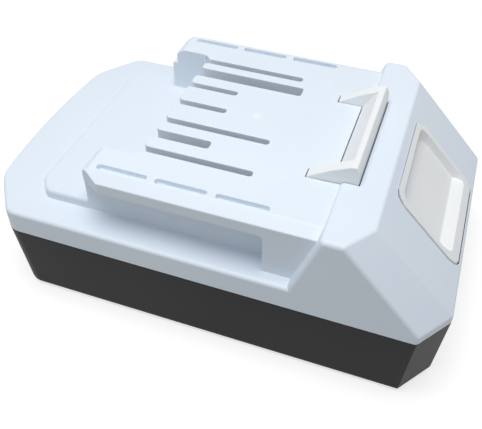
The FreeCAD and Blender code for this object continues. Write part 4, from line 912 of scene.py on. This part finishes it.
@dataclass
class Studio:
    """Floor, sky, lamp and camera.

    The camera's angles, target and distance were fitted to the photograph. The floor's size is in
    metres.
    """

    azimuth: float = 18.79
    elevation: float = 44.10
    roll: float = 1.10
    target: Place = (7.87, -25.14, 34.61)
    distance: float = 155.64
    lens: float = 49.79
    sensor_width: float = 36.0
    near_clip: float = 5.0
    lamp_place: Place = (-16.0, -62.0, 440.0)
    lamp_aim: Place = (0.0, 0.0, 30.0)
    lamp_size: float = 260.0
    lamp_power: float = 1.245
    floor_size: float = 3.0
    sky_strength: float = 0.37
    sky_colour: Colour = (0.97, 0.985, 1.0, 1.0)
    floor_paint: float = 0.46
    floor_lift: float = 0.68
    floor_drop: float = 0.05

    def build(self) -> None:
        """Set the whole stage."""
        self.lay_floor()
        self.make_sky()
        self.hang_lamp()
        self.place_camera()
        bpy.context.scene.view_settings.view_transform = "Standard"

    def lay_floor(self) -> None:
        """Lay a pale floor that keeps the pack's soft shadow."""
        shape = bmesh.new()
        below = Matrix.Translation((0.0, 0.0, -self.floor_drop * MM))
        bmesh.ops.create_grid(shape, x_segments=2, y_segments=2, size=self.floor_size / 2, matrix=below)
        floor = as_object("studio_floor", shape)
        made = bpy.data.materials.new("studio_floor_paint")
        made.use_nodes = True
        wiring = Wiring(made.node_tree)
        shader = made.node_tree.nodes["Principled BSDF"]
        shader.inputs["Base Color"].default_value = (*(self.floor_paint,) * 3, 1.0)
        shader.inputs["Roughness"].default_value = 1.0
        shader.inputs["Specular IOR Level"].default_value = 0.0
        shader.inputs["Emission Color"].default_value = (1.0, 1.0, 1.0, 1.0)
        lift = wiring.math("MULTIPLY", self.seen_directly(wiring), self.floor_lift)
        made.node_tree.links.new(lift, shader.inputs["Emission Strength"])
        self.clear_from_below(wiring, shader)
        floor.data.materials.append(made)

    @staticmethod
    def clear_from_below(wiring: Wiring, shader: bpy.types.Node) -> None:
        """Let the underside be seen through the floor."""
        links = wiring.tree.links
        either = wiring.add("MixShader")
        links.new(wiring.add("NewGeometry").outputs["Backfacing"], either.inputs["Fac"])
        links.new(shader.outputs["BSDF"], either.inputs[1])
        links.new(wiring.add("BsdfTransparent").outputs["BSDF"], either.inputs[2])
        links.new(either.outputs["Shader"], wiring.tree.nodes["Material Output"].inputs["Surface"])

    @staticmethod
    def seen_directly(wiring: Wiring) -> bpy.types.NodeSocket:
        """Give 1 where the camera sees a surface, also by reflection or through glass."""
        path = wiring.add("LightPath")
        mirrored = wiring.math("MAXIMUM", path.outputs["Is Glossy Ray"], path.outputs["Is Transmission Ray"])
        return wiring.math("MAXIMUM", path.outputs["Is Camera Ray"], mirrored)

    def make_sky(self) -> None:
        """Light from all round at a plain level, with white behind the pack."""
        world = bpy.data.worlds.new("studio_sky")
        world.use_nodes = True
        wiring = Wiring(world.node_tree)
        strength = wiring.math(
            "MULTIPLY_ADD", self.seen_directly(wiring), 1.0 - self.sky_strength, self.sky_strength)
        background = world.node_tree.nodes["Background"]
        background.inputs["Color"].default_value = self.sky_colour
        world.node_tree.links.new(strength, background.inputs["Strength"])
        bpy.context.scene.world = world

    def hang_lamp(self) -> None:
        """Hang the square soft lamp that faces the pack."""
        light = bpy.data.lights.new("key_lamp", "AREA")
        light.size = self.lamp_size * MM
        light.energy = self.lamp_power
        hung = bpy.data.objects.new("key_lamp", light)
        spot = Vector(self.lamp_place) * MM
        aim = Vector(self.lamp_aim) * MM - spot
        hung.matrix_world = Matrix.Translation(spot) @ aim.to_track_quat("-Z", "Y").to_matrix().to_4x4()
        bpy.context.scene.collection.objects.link(hung)

    def place_camera(self) -> None:
        """Stand the camera at the photograph's own viewpoint."""
        turn, rise, lean = (math.radians(angle) for angle in (self.azimuth, self.elevation, self.roll))
        right = Vector((math.cos(turn), math.sin(turn), 0.0))
        back = Vector((math.sin(turn) * math.cos(rise), -math.cos(turn) * math.cos(rise), math.sin(rise)))
        up = back.cross(right)
        leaned_right = right * math.cos(lean) + up * math.sin(lean)
        leaned_up = up * math.cos(lean) - right * math.sin(lean)
        stand = (Vector(self.target) + back * self.distance) * MM
        lens = bpy.data.cameras.new("photo_camera")
        lens.lens = self.lens
        lens.sensor_width = self.sensor_width
        lens.clip_start = self.near_clip * MM
        camera = bpy.data.objects.new("photo_camera", lens)
        turned = Matrix((leaned_right, leaned_up, back)).transposed().to_4x4()
        camera.matrix_world = Matrix.Translation(stand) @ turned
        bpy.context.scene.collection.objects.link(camera)
        bpy.context.scene.camera = camera


def main() -> None:
    """Build the pack and its stage."""
    logging.basicConfig(level=logging.INFO, format="%(name)s %(message)s")
    for part in (Studio(), Case(), Latch(), Contacts(), PowerPack()):
        LOG.info("building %s", type(part).__name__)
        part.build()


if __name__ == "__main__":
    main()
